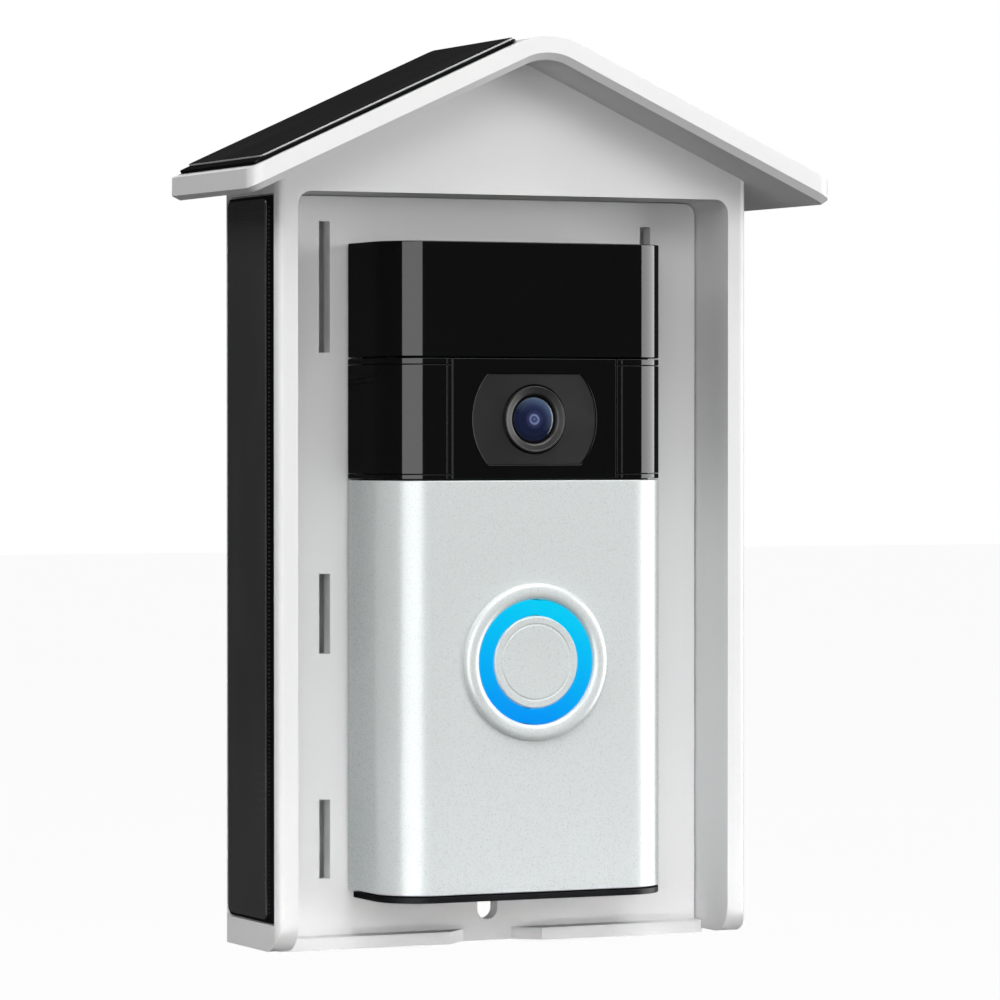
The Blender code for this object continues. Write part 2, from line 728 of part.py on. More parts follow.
def rear_cover():
    """House-shaped lid over the rear space, with counterbored screw holes and screw slots."""
    drop = ROOF_THICKNESS + FIT
    outline = house_outline(INNER_HALF - FIT, WALL_BOTTOM + SILL + FIT, drop)
    cover = add("rear_cover", prism(outline, "Y", COVER_FRONT, 0.0), WHITE_PLASTIC, True)
    near = COVER_FRONT - PAST
    seat = COVER_FRONT + COVER_SEAT
    steps = [
        (0.0, near),
        (SCREW_SHANK + PILOT_CLEARANCE, near),
        (SCREW_SHANK + PILOT_CLEARANCE, seat),
        (SCREW_HEAD + FIT, seat),
        (SCREW_HEAD + FIT, PAST),
        (0.0, PAST),
    ]
    for name, x in mirrored(COVER_SCREW_X):
        for index, z in enumerate(COVER_SCREW_HEIGHTS):
            bore = turned(steps, (x, z), COARSE)
            boolean(cover, cutter(f"cut_cover_screw_{name}_{index}", bore))
    slot = screw_slot(UPPER_SLOT_BOTTOM, UPPER_SLOT_TOP, near, PAST, UPPER_SLOT_MARGIN)
    boolean(cover, cutter("cut_cover_slot", slot))
    half, height = REAR_NOTCH
    notch = block((-half, near, WALL_BOTTOM), (half, PAST, WALL_BOTTOM + height))
    boolean(cover, cutter("cut_cover_notch", notch))
    return cover


def cover_screws():
    """The screws that hold the rear cover and the shell to the mounting plate."""
    for name, x in mirrored(COVER_SCREW_X):
        for level, z in zip(("upper", "lower"), COVER_SCREW_HEIGHTS):
            seat = COVER_FRONT + COVER_SEAT + FIT
            screw(f"cover_screw_{level}_{name}", (x, z), -FIT, seat, PLATE_BACK - COVER_SCREW_BITE)


def screw(name, centre, face, seat, tip):
    """Pan-head screw along Y with its head's outer face, its seat and its tip given as Y."""
    profile = [(0.0, tip), (SCREW_SHANK, tip), (SCREW_SHANK, seat), (SCREW_HEAD, seat)]
    soften = (face - seat) * 0.35
    profile += [(SCREW_HEAD, face - soften), (SCREW_HEAD - abs(soften), face), (0.0, face)]
    add(name, turned(profile, centre, COARSE), STEEL, True)


def roof_panels():
    """Backing sheet and cell sheet on each slope."""
    for (name, side), sink in zip(SIDES, ROOF_PANEL_SINK):
        inner, outer, front, rear = roof_panel_corners()
        low = LAMINATE - sink
        base = slope_box(side, (inner, outer, front, rear), low, low + PANEL_BASE)
        add(f"roof_panel_base_{name}", base, PANEL_BLACK)
        low += PANEL_BASE + LAMINATE
        edge = ROOF_CELL_EDGE
        corners = (inner + edge, outer - ROOF_CELL_EAVE, front + edge, rear - edge)
        add(f"roof_panel_cells_{name}", slope_box(side, corners, low, low + PANEL_CELL), SOLAR_CELL)


def side_panels():
    """Backing sheet and cell sheet on each outer side."""
    front = -WALL_DEPTH + SIDE_PANEL_FRONT
    rear = -SIDE_PANEL_REAR
    edge = SIDE_CELL_EDGE
    whole = (front, rear, SIDE_PANEL_BOTTOM, SIDE_PANEL_TOP)
    cells = (front + SIDE_CELL_FRONT, rear - edge, SIDE_PANEL_BOTTOM + edge, SIDE_PANEL_TOP - edge)
    for name, side in SIDES:
        face = WALL_WIDTH / 2 - SIDE_PANEL_SINK + LAMINATE
        add(f"side_panel_base_{name}", side_sheet(side, face, PANEL_BASE, whole), PANEL_BLACK)
        face += PANEL_BASE + LAMINATE
        add(f"side_panel_cells_{name}", side_sheet(side, face, PANEL_CELL, cells), SOLAR_CELL)


def side_sheet(side, face, thickness, limits):
    """Upright sheet whose inner face lies at x = face on its side."""
    front, rear, low, high = limits
    near, far = sorted((side * face, side * (face + thickness)))
    return block((near, front, low), (far, rear, high))


def charger():
    """Charge board with its coil and its chip, on the rear cover."""
    back = COVER_FRONT - BOARD_STANDOFF
    front = back - BOARD_THICKNESS
    board = block((-BOARD_HALF_WIDTH, front, BOARD_BOTTOM), (BOARD_HALF_WIDTH, back, BOARD_TOP))
    add("charge_board", board, BOARD_GREEN)
    for name, size, (x, z), finish in (
        ("charge_coil", INDUCTOR, INDUCTOR_PLACE, DARK_PLATE),
        ("charge_chip", CHIP, CHIP_PLACE, BLACK_PLASTIC),
    ):
        top = front - LAMINATE
        low = (x - size[0] / 2, top - size[1], z - size[2] / 2)
        add(name, block(low, (x + size[0] / 2, top, z + size[2] / 2)), finish)


def smooth_route(points, density=4):
    """Points on a smooth curve through the route's own points."""
    route = []
    ends = [2 * points[0] - points[1], *points, 2 * points[-1] - points[-2]]
    for a, b, c, d in zip(ends, ends[1:], ends[2:], ends[3:]):
        for step in range(density):
            t = step / density
            squared = (2 * a - 5 * b + 4 * c - d) * t**2
            cubed = (3 * b - a - 3 * c + d) * t**3
            route.append((2 * b + (c - a) * t + squared + cubed) / 2)
    return [*route, points[-1]]


def lead(name, points, finish):
    """Insulated wire along a smooth route, with flat ends."""
    route = smooth_route([Vector(point) for point in points])
    curve = bpy.data.curves.new(name, "CURVE")
    curve.dimensions = "3D"
    curve.bevel_depth = LEAD_RADIUS
    curve.bevel_resolution = 2
    curve.use_fill_caps = True
    spline = curve.splines.new("POLY")
    spline.points.add(len(route) - 1)
    for point, place in zip(spline.points, route):
        point.co = (*place, 1.0)
    curve.materials.append(material(*finish))
    thing = bpy.data.objects.new(name, curve)
    bpy.context.scene.collection.objects.link(thing)


def leads():
    """The wires from the four panels to the board, and from the board to the doorbell."""
    pad = COVER_FRONT - BOARD_STANDOFF - BOARD_THICKNESS - LAMINATE - LEAD_RADIUS
    for (name, side), sink in zip(SIDES, ROOF_PANEL_SINK):
        roof_lead(name, side, sink, pad)
        side_lead(name, side, pad)
        terminal_lead(name, side, pad)


def roof_lead(name, side, sink, pad):
    """Wire from a roof panel down through the attic to the top of the board."""
    start = roof_line(ROOF_LEAD_X) - sink / math.cos(ROOF_PITCH) - FIT - LEAD_RADIUS * SLOPE
    y = side_lead_depth()
    end_x = BOARD_HALF_WIDTH - 0.008
    route = [
        (ROOF_LEAD_X, ROOF_LEAD_Y, start),
        (ROOF_LEAD_X, ROOF_LEAD_Y, start - 0.006),
        (ROOF_LEAD_X - 0.002, ROOF_LEAD_Y + 0.003, start - 0.010),
        (ROOF_LEAD_X - 0.004, y, start - 0.014),
        (ROOF_LEAD_X - 0.006, y, CEILING_HEIGHT - 0.004),
        (ROOF_LEAD_X - 0.009, y - 0.0005, BOARD_TOP + 0.012),
        (end_x, pad, BOARD_TOP + 0.004),
        (end_x, pad, BOARD_TOP - 0.003),
    ]
    lead(f"roof_lead_{name}", [(side * u, v, w) for u, v, w in route], LEAD_RED)


def side_lead(name, side, pad):
    """Wire from a side panel through the wall to the side of the board."""
    wall = WALL_WIDTH / 2 - SIDE_PANEL_SINK - FIT
    y = side_lead_depth()
    z = SIDE_LEAD_HEIGHT
    route = [
        (wall, y, z),
        (wall - 0.006, y, z),
        (wall - 0.014, y - 0.0004, z - 0.0015),
        (BOARD_HALF_WIDTH + 0.006, pad, z - 0.001),
        (BOARD_HALF_WIDTH - 0.003, pad, z - 0.001),
    ]
    lead(f"side_lead_{name}", [(side * u, v, w) for u, v, w in route], LEAD_BLACK)


def terminal_lead(name, side, pad):
    """Wire from the board through the plate's window to a terminal screw."""
    x = TERMINAL_SPACING / 2
    z = TERMINAL_HEIGHT
    terminal = depth(terminal_face()) + FIT + LEAD_RADIUS
    route = [
        (x * 0.6, pad, BOARD_BOTTOM + 0.003),
        (x * 0.6, pad, BOARD_BOTTOM - 0.004),
        (x * 0.7, side_lead_depth(), BOARD_BOTTOM - 0.014),
        (x * 0.9, side_lead_depth() - 0.0006, z + 0.016),
        (x, PLATE_BACK + 0.0005, z + 0.0095),
        (x, -PLATE_FACE + 0.0010, z + 0.0065),
        (x, terminal, z + 0.003),
        (x, terminal, z - 0.001),
    ]
    finish = LEAD_RED if side > 0 else LEAD_BLACK
    lead(f"terminal_lead_{name}", [(side * u, v, w) for u, v, w in route], finish)


# ---------------------------------------------------------------- doorbell


def cover_plan(inset=0.0, front=0.0, back=None):
    """Plan of the doorbell's covers, drawn in by inset, from a front to a back depth."""
    half = DOORBELL_WIDTH / 2 - inset
    radius = DOORBELL_CORNER - inset
    if back is None:
        back = DOORBELL_STANDOFF - COVER_BACK_GAP
    return rounded(
        [
            (-half, depth(back), 0.0),
            (-half, depth(front), radius),
            (half, depth(front), radius),
            (half, depth(back), 0.0),
        ],
        steps=8,
    )


def cover_sleeve(name, low, high, finish, wall=COVER_WALL):
    """Front wall and two side walls, open to the rear."""
    sleeve = add(name, prism(cover_plan(), "Z", low, high), finish, True)
    inside = cover_plan(COVER_WALL, wall, DOORBELL_STANDOFF + PAST)
    boolean(sleeve, cutter(f"cut_{name}_inside", prism(inside, "Z", low - PAST, high + PAST)))
    return sleeve


def faceplate():
    """Silver lower cover with the button's opening and the boss for the security screw."""
    floor = DOORBELL_BOTTOM + FLOOR_THICKNESS
    plate = cover_sleeve("faceplate", floor + FIT, FACEPLATE_TOP - SEAM / 2, SILVER_PAINT)
    centre = (0.0, BUTTON_HEIGHT)
    hole = disc(BEZEL_NECK + FIT, depth(-PAST), depth(COVER_WALL + PAST), centre, FINE)
    boolean(plate, cutter("cut_button_opening", hole))
    half, height = SECURITY_BOSS
    boss = block(
        (-half, depth(COVER_WALL - FIT), floor + FIT),
        (half, depth(2 * SECURITY_DEPTH - COVER_WALL - FIT), floor + height),
    )
    boolean(plate, cutter("join_security_boss", boss), "UNION")
    radius = SECURITY_SHANK + PILOT_CLEARANCE
    pilot = upright(radius, floor - PAST, floor + height - PAST, security_place())
    boolean(plate, cutter("cut_security_pilot", pilot))


def security_place():
    """Where the security screw stands, as (x, y)."""
    return 0.0, depth(SECURITY_DEPTH)


def security_screw():
    """Screw that holds the faceplate to the chassis from below."""
    low = DOORBELL_BOTTOM + LAMINATE
    top = DOORBELL_BOTTOM + SECURITY_HEAD_TOP
    head = upright(SECURITY_HEAD, low, top, security_place())
    fixing = add("security_screw", head, STEEL, True)
    tip = DOORBELL_BOTTOM + FLOOR_THICKNESS + SECURITY_BOSS[1] - 2 * PILOT_CLEARANCE - PAST
    shank = upright(SECURITY_SHANK, top - FIT, tip, security_place())
    boolean(fixing, cutter("join_security_shank", shank), "UNION")


def upper_cover():
    """Gloss-black cap over the top of the doorbell."""
    low = CAMERA_COVER_TOP + SEAM / 2
    cap = add("upper_cover", prism(cover_plan(), "Z", low, DOORBELL_TOP), BLACK_GLOSS, True)
    plan = cover_plan(COVER_WALL, COVER_WALL, DOORBELL_STANDOFF + PAST)
    inside = prism(plan, "Z", low - PAST, DOORBELL_TOP - COVER_WALL)
    boolean(cap, cutter("cut_upper_inside", inside))


def camera_cover():
    """Gloss-black band that carries the camera window in a shallow recess."""
    low = FACEPLATE_TOP + SEAM / 2
    high = CAMERA_COVER_TOP - SEAM / 2
    wall = WINDOW_RECESS + COVER_WALL
    band = cover_sleeve("camera_cover", low, high, BLACK_GLOSS, wall)
    half = WINDOW_HALF_WIDTH + FIT
    recess = block((-half, depth(-PAST), low - PAST), (half, depth(WINDOW_RECESS), high + PAST))
    boolean(band, cutter("cut_window_recess", recess))
    far = depth(wall + PAST)
    radius = LENS_RING_RADIUS + RING_CLEARANCE
    hole = disc(radius, depth(0.0), far, (0.0, CAMERA_HEIGHT), FINE)
    boolean(band, cutter("cut_camera_hole", hole))
    for name, x in mirrored(IR_LED_OFFSET):
        led = disc(IR_LED_RADIUS + FIT, depth(0.0), far, (x, CAMERA_HEIGHT), COARSE)
        boolean(band, cutter(f"cut_led_hole_{name}", led))


def surround_outline(grow=0.0):
    """Circle with its top and bottom cut flat."""
    radius = SURROUND_RADIUS + grow
    height = SURROUND_HALF_HEIGHT + grow
    limit = math.asin(height / radius)
    arc = [limit * (2 * step / 16 - 1) for step in range(17)]
    right = [(radius * math.cos(a), CAMERA_HEIGHT + radius * math.sin(a)) for a in arc]
    left = [(-x, 2 * CAMERA_HEIGHT - z) for x, z in right]
    return right + left


def camera():
    """Window, surround, lens ring, lens, barrel and board of the camera."""
    centre = (0.0, CAMERA_HEIGHT)
    panel = block(
        (-WINDOW_HALF_WIDTH, depth(WINDOW_SET_BACK), FACEPLATE_TOP + SEAM / 2),
        (
            WINDOW_HALF_WIDTH,
            depth(WINDOW_SET_BACK + WINDOW_THICKNESS),
            CAMERA_COVER_TOP - SEAM / 2,
        ),
    )
    window = add("camera_window", panel, BLACK_GLOSS)
    opening = prism(surround_outline(FIT), "Y", depth(-PAST), depth(WINDOW_RECESS))
    boolean(window, cutter("cut_surround_opening", opening))
    back = WINDOW_RECESS - FIT / 2
    plate = prism(surround_outline(), "Y", depth(FIT), depth(back))
    surround = add("camera_surround", plate, DARK_PLATE)
    hole = disc(LENS_RING_RADIUS + FIT, depth(-PAST), depth(back + PAST), centre, FINE)
    boolean(surround, cutter("cut_ring_opening", hole))
    lens_stack(centre)
    barrel = disc(BARREL_RADIUS, depth(BARREL_FRONT), depth(BARREL_BACK), centre)
    add("camera_barrel", barrel, BLACK_PLASTIC, True)
    width, height = CAMERA_BOARD
    front = BARREL_BACK + FIT
    board = block(
        (-width / 2, depth(front), CAMERA_HEIGHT - height / 2),
        (width / 2, depth(front + CAMERA_BOARD_THICKNESS), CAMERA_HEIGHT + height / 2),
    )
    add("camera_board", board, BOARD_GREEN)
    for name, x in mirrored(IR_LED_OFFSET):
        led = disc(IR_LED_RADIUS, depth(back + FIT), depth(IR_LED_BACK), (x, CAMERA_HEIGHT), COARSE)
        add(f"night_led_{name}", led, LENS_GLASS, True)


def lens_stack(centre):
    """Ring around the lens, and the domed lens in it."""
    inner = LENS_RADIUS + FIT
    ring = [
        (inner, depth(2 * FIT)),
        (LENS_RADIUS + LENS_RING_LIP, depth(-LENS_RING_PROUD)),
        (LENS_RING_RADIUS - LENS_RING_EDGE, depth(-LENS_RING_PROUD)),
        (LENS_RING_RADIUS, depth(LENS_RING_PROUD)),
        (LENS_RING_RADIUS, depth(LENS_BACK)),
        (inner, depth(LENS_BACK)),
    ]
    add("lens_ring", turned(ring, centre, FINE), BLACK_PLASTIC, True)
    dome = [(0.0, depth(LENS_BACK)), (LENS_RADIUS, depth(LENS_BACK))]
    steps = 6
    for step in range(steps):
        angle = math.pi / 2 * step / steps
        rise = LENS_BULGE * (1 - math.sin(angle))
        dome.append((LENS_RADIUS * math.cos(angle), depth(LENS_FRONT + rise)))
    dome.append((0.0, depth(LENS_FRONT)))
    add("lens", turned(dome, centre, ROUND), LENS_GLASS, True)


def motion_sensor():
    """Segmented lens and heat sensor behind the upper cover."""
    width, thickness, height = MOTION_LENS
    front = COVER_WALL + FIT
    lens = block(
        (-width / 2, depth(front), MOTION_HEIGHT - height / 2),
        (width / 2, depth(front + thickness), MOTION_HEIGHT + height / 2),
    )
    add("motion_lens", lens, MILKY)
    back = MAIN_BOARD_FRONT - 0.0018
    can = disc(MOTION_RADIUS, depth(back - 0.0040), depth(back), (0.0, MOTION_HEIGHT))
    add("motion_sensor", can, STEEL, True)


def chassis():
    """Black tub behind the covers, with the floor that shows below the faceplate."""
    half = DOORBELL_WIDTH / 2 - COVER_WALL - FIT
    low = DOORBELL_BOTTOM + FLOOR_THICKNESS - FIT
    high = DOORBELL_TOP - COVER_WALL - FIT
    tub = block((-half, depth(CHASSIS_FRONT), low), (half, depth(CHASSIS_BACK), high))
    body = add("chassis", tub, BLACK_PLASTIC)
    hollow = block(
        (-half + CHASSIS_WALL, depth(CHASSIS_FRONT - PAST), low + CHASSIS_WALL),
        (half - CHASSIS_WALL, depth(CHASSIS_BACK - CHASSIS_BACK_WALL), high - CHASSIS_WALL),
    )
    boolean(body, cutter("cut_chassis_inside", hollow))
    plan = cover_plan(back=CHASSIS_BACK)
    floor = prism(plan, "Z", DOORBELL_BOTTOM, DOORBELL_BOTTOM + FLOOR_THICKNESS)
    boolean(body, cutter("join_floor", floor), "UNION")
    place = security_place()
    seat = DOORBELL_BOTTOM + SECURITY_HEAD_TOP + PILOT_CLEARANCE
    bore = upright(SECURITY_HEAD + FIT, DOORBELL_BOTTOM - PAST, seat, place)
    boolean(body, cutter("cut_floor_head", bore))
    radius = SECURITY_SHANK + PILOT_CLEARANCE
    way = upright(radius, DOORBELL_BOTTOM, DOORBELL_BOTTOM + FLOOR_THICKNESS + PAST, place)
    boolean(body, cutter("cut_floor_shank", way))
    chassis_openings(body)


def chassis_openings(body):
    """Openings of the chassis's rear wall for the terminals, the socket and the setup button."""
    near = depth(CHASSIS_BACK - CHASSIS_BACK_WALL - PAST)
    far = depth(CHASSIS_BACK + PAST)
    for name, x in mirrored(TERMINAL_SPACING / 2):
        hole = disc(SCREW_SHANK + PILOT_CLEARANCE, near, far, (x, TERMINAL_HEIGHT), COARSE)
        boolean(body, cutter(f"cut_terminal_{name}", hole))
    boolean(body, cutter("cut_usb", prism(usb_outline(FIT), "Y", near, far)))
    setup = disc(SETUP_RADIUS + FIT, near, far, (0.0, SETUP_HEIGHT), COARSE)
    boolean(body, cutter("cut_setup", setup))


def usb_outline(grow, corner=0.0):
    """Outline of the charging socket, larger by grow."""
    width, _, height = USB_SIZE
    low = USB_HEIGHT - height / 2 - grow
    return plate_outline(width / 2 + grow, low, low + height + 2 * grow, corner)


def seal():
    """Rubber seal on the front edge of the chassis."""
    half = DOORBELL_WIDTH / 2 - COVER_WALL - FIT - SEAL_INSET
    low = DOORBELL_BOTTOM + FLOOR_THICKNESS + 2 * FIT
    high = DOORBELL_TOP - COVER_WALL - FIT - SEAL_INSET
    back = CHASSIS_FRONT - FIT
    front = back - SEAL_THICKNESS
    ring = prism(plate_outline(half, low, high, PAST), "Y", depth(front), depth(back))
    band = add("chassis_seal", ring, RUBBER)
    width = SEAL_WIDTH
    inside = plate_outline(half - width, low + width, high - width, SEAL_INSET)
    opening = prism(inside, "Y", depth(front - PAST), depth(back + PAST))
    boolean(band, cutter("cut_seal_inside", opening))


def bracket_front():
    """Depth of the bracket's front face."""
    return CHASSIS_BACK + FIT


def terminal_face():
    """Depth of the terminal screws' rear face."""
    return bracket_front() + 0.0012


def bracket():
    """Bracket that carries the doorbell on the mounting plate, with its two screws."""
    front = bracket_front()
    back = DOORBELL_STANDOFF - FIT
    tall = BRACKET_HALF_HEIGHT
    outline = plate_outline(BRACKET_HALF_WIDTH, -tall, tall, BRACKET_CORNER)
    body = prism(outline, "Y", depth(front), depth(back))
    frame = add("door_bracket", body, BLACK_PLASTIC, True)
    around = SCREW_HEAD + 0.001
    window = plate_outline(
        TERMINAL_SPACING / 2 + around,
        TERMINAL_HEIGHT - around,
        SETUP_HEIGHT + SETUP_RADIUS + 0.003,
        WIRE_WINDOW_CORNER,
    )
    way = prism(window, "Y", depth(front - PAST), depth(back + PAST))
    boolean(frame, cutter("cut_bracket_window", way))
    steps = [
        (0.0, depth(front - PAST)),
        (SCREW_HEAD + FIT, depth(front - PAST)),
        (SCREW_HEAD + FIT, depth(front + BRACKET_SEAT)),
        (SCREW_SHANK + PILOT_CLEARANCE, depth(front + BRACKET_SEAT)),
        (SCREW_SHANK + PILOT_CLEARANCE, depth(back + PAST)),
        (0.0, depth(back + PAST)),
    ]
    seat = depth(front + BRACKET_SEAT - FIT / 2)
    for name, z in (("upper", BRACKET_SCREW_HEIGHT), ("lower", -BRACKET_SCREW_HEIGHT)):
        boolean(frame, cutter(f"cut_bracket_{name}", turned(steps, (0.0, z), COARSE)))
        tip = PLATE_BACK - PILOT_CLEARANCE
        screw(f"bracket_screw_{name}", (0.0, z), depth(front + FIT), seat, tip)


def rear_contacts():
    """Terminal screws, charging socket and setup button in the chassis's rear wall."""
    seat = depth(CHASSIS_BACK + FIT)
    tip = depth(CHASSIS_BACK - TERMINAL_BITE)
    for name, x in mirrored(TERMINAL_SPACING / 2):
        place = (x, TERMINAL_HEIGHT)
        screw(f"terminal_screw_{name}", place, depth(terminal_face()), seat, tip)
    _, length, _ = USB_SIZE
    back = depth(CHASSIS_BACK - 0.0002)
    body = prism(usb_outline(0.0, 0.001), "Y", back - length * 0.45, back)
    port = add("charging_socket", body, STEEL, True)
    mouth = prism(usb_outline(-USB_RIM, USB_RIM), "Y", back - length * 0.3, back + PAST)
    boolean(port, cutter("cut_socket_mouth", mouth))
    profile = [
        (0.0, -SETUP_LENGTH),
        (SETUP_RADIUS, -SETUP_LENGTH),
        (SETUP_RADIUS, -FIT),
        (SETUP_RADIUS - FIT, 0.0),
        (0.0, 0.0),
    ]
    button = add("setup_button", turned(profile, (0.0, 0.0), COARSE), SETUP_ORANGE, True)
    button.location = (0.0, depth(CHASSIS_BACK + 0.0001), SETUP_HEIGHT)


def button_stack():
    """Bezel, light ring, cap, cushion, switch, stem and light board of the button."""
    centre = (0.0, BUTTON_HEIGHT)
    mouth = RING_OUTER + BUTTON_GAP
    bezel = [
        (mouth, depth(-BEZEL_PROUD * 0.55)),
        (mouth + 0.0004, depth(-BEZEL_PROUD * 0.85)),
        (mouth + 0.0011, depth(-BEZEL_PROUD)),
        (BEZEL_RADIUS - 0.0012, depth(-BEZEL_PROUD * 0.8)),
        (BEZEL_RADIUS - FIT, depth(-2 * FIT)),
        (BEZEL_RADIUS, depth(-FIT)),
        (BEZEL_NECK, depth(-FIT)),
        (BEZEL_NECK, depth(BEZEL_BACK)),
        (mouth, depth(BEZEL_BACK)),
    ]
    add("button_bezel", turned(bezel, centre, FINE), SILVER_PAINT, True)
    back = CUSHION_BACK - LAMINATE
    ring = collar(RING_INNER, RING_OUTER, depth(-RING_PROUD), depth(back), centre, FINE)
    add("light_ring", ring, LIGHT_BLUE, True)
    button_cap()
    front = CAP_THICKNESS - CAP_PROUD + BUTTON_TRAVEL + 2 * LAMINATE
    cushion = collar(
        POST_RADIUS + 2 * FIT, RING_INNER - 2 * FIT, depth(front), depth(CUSHION_BACK), centre
    )
    add("button_cushion", cushion, RUBBER, True)
    button_switch(centre)


def button_cap():
    """Round cap with a fine groove, and the post behind it."""
    radius = RING_INNER - BUTTON_GAP
    front = -CAP_PROUD
    back = front + CAP_THICKNESS
    edge = CAP_EDGE
    profile = [
        (0.0, front),
        (CAP_GROOVE - edge, front),
        (CAP_GROOVE, front + edge),
        (CAP_GROOVE + edge, front),
        (radius - edge, front),
        (radius, front + edge),
        (radius, back),
        (POST_RADIUS, back),
        (POST_RADIUS, POST_END),
        (0.0, POST_END),
    ]
    cap = add("button_cap", turned(profile, (0.0, 0.0), FINE), SILVER_PAINT, True)
    cap.location = (0.0, FRONT, BUTTON_HEIGHT)


def button_switch(centre):
    """Tactile switch with its stem, on the light board."""
    stem_front = POST_END + BUTTON_TRAVEL - STEM_TRAVEL + LAMINATE
    bar = disc(STEM_RADIUS, 0.0, STEM_LENGTH, (0.0, 0.0), COARSE)
    stem = add("switch_stem", bar, BLACK_PLASTIC, True)
    stem.location = (0.0, depth(stem_front), BUTTON_HEIGHT)
    front = stem_front + STEM_SHOWING
    back = front + SWITCH_HEIGHT
    half = SWITCH_SIDE / 2
    case = block(
        (-half, depth(front), BUTTON_HEIGHT - half), (half, depth(back), BUTTON_HEIGHT + half)
    )
    switch = add("button_switch", case, STEEL)
    radius = STEM_RADIUS + PILOT_CLEARANCE
    bore = disc(radius, depth(front - PAST), depth(back - 0.0004), centre, COARSE)
    boolean(switch, cutter("cut_stem_bore", bore))
    back += LAMINATE
    board = disc(LIGHT_BOARD_RADIUS, depth(back), depth(back + LIGHT_BOARD_THICKNESS), centre)
    add("light_board", board, BOARD_GREEN, True)


def inner_parts():
    """Main board, battery, speaker and microphone inside the doorbell."""
    board = block(
        (-MAIN_BOARD_HALF_WIDTH, depth(MAIN_BOARD_FRONT), MAIN_BOARD_BOTTOM),
        (MAIN_BOARD_HALF_WIDTH, depth(MAIN_BOARD_FRONT + MAIN_BOARD_THICKNESS), MAIN_BOARD_TOP),
    )
    add("main_board", board, BOARD_GREEN)
    add("battery", battery_cell(), BATTERY_WRAP, True)
    front = depth(COVER_WALL + FIT)
    speaker = [
        (0.0, front),
        (SPEAKER_RADIUS, front),
        (SPEAKER_RADIUS, depth(SPEAKER_RIM)),
        (SPEAKER_RADIUS * 0.6, depth(SPEAKER_BACK)),
        (0.0, depth(SPEAKER_BACK)),
    ]
    add("speaker", turned(speaker, (0.0, SPEAKER_HEIGHT), ROUND), BLACK_PLASTIC, True)
    width, thickness, height = MICROPHONE
    x, z = MICROPHONE_PLACE
    low = (x - width / 2, front, z - height / 2)
    mic = block(low, (x + width / 2, front + thickness, z + height / 2))
    add("microphone", mic, BRASS)


def battery_cell():
    """Flat cell with rounded long edges, standing on the chassis's floor."""
    low = DOORBELL_BOTTOM + FLOOR_THICKNESS + CHASSIS_WALL + PAST
    back = CHASSIS_BACK - CHASSIS_BACK_WALL - BATTERY_CLEARANCE
    half = BATTERY_WIDTH / 2
    cell = block((-half, depth(BATTERY_FRONT), low), (half, depth(back), BATTERY_TOP))
    long_edges = [
        edge
        for edge in cell.edges
        if abs(edge.verts[0].co.z - edge.verts[1].co.z) > (BATTERY_TOP - low) / 2
    ]
    bmesh.ops.bevel(
        cell,
        geom=long_edges,
        offset=(back - BATTERY_FRONT) * 0.45,
        offset_type="OFFSET",
        affect="EDGES",
        segments=4,
        profile=0.5,
        material=-1,
    )
    return cell


def build():
    """Make every piece of the doorbell and of its shelter."""
    clear_scene()
    shelter_shell()
    mounting_plate()
    rear_cover()
    cover_screws()
    roof_panels()
    side_panels()
    charger()
    leads()
    faceplate()
    security_screw()
    upper_cover()
    camera_cover()
    camera()
    motion_sensor()
    chassis()
    seal()
    bracket()
    rear_contacts()
    button_stack()
    inner_parts()


build()
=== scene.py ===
"""A battery video doorbell in its solar shelter: the fine pieces, the finishes, light and camera.

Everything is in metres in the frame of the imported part: the wall is the plane Y = 0, the
front looks towards -Y, +Z is up and +X is to the right of someone facing the doorbell.
"""

import json
import logging
import math
from collections.abc import Sequence
from dataclasses import dataclass
from enum import Enum

import bmesh
import bpy
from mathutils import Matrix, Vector


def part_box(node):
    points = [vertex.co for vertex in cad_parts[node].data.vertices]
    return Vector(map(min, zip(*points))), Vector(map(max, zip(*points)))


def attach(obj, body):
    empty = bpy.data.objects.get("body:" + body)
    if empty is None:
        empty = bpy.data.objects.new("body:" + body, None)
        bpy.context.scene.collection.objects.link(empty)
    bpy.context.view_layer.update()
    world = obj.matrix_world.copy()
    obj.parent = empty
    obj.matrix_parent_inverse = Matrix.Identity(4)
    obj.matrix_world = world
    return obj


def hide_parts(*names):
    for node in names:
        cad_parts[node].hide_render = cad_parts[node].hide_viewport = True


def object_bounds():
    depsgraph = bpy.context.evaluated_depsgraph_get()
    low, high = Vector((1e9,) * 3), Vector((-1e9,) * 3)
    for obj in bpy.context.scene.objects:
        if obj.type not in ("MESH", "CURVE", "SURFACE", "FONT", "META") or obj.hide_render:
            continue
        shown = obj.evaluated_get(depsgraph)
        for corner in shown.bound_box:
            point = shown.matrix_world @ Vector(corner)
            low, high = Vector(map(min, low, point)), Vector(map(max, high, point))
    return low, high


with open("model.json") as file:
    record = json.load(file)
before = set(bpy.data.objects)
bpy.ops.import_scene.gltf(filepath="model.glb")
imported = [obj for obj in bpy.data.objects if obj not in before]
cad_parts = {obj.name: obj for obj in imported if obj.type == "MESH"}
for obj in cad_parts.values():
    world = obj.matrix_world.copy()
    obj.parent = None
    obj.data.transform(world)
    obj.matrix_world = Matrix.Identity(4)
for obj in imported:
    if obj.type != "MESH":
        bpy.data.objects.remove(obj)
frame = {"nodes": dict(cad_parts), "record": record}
CAD_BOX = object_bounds()

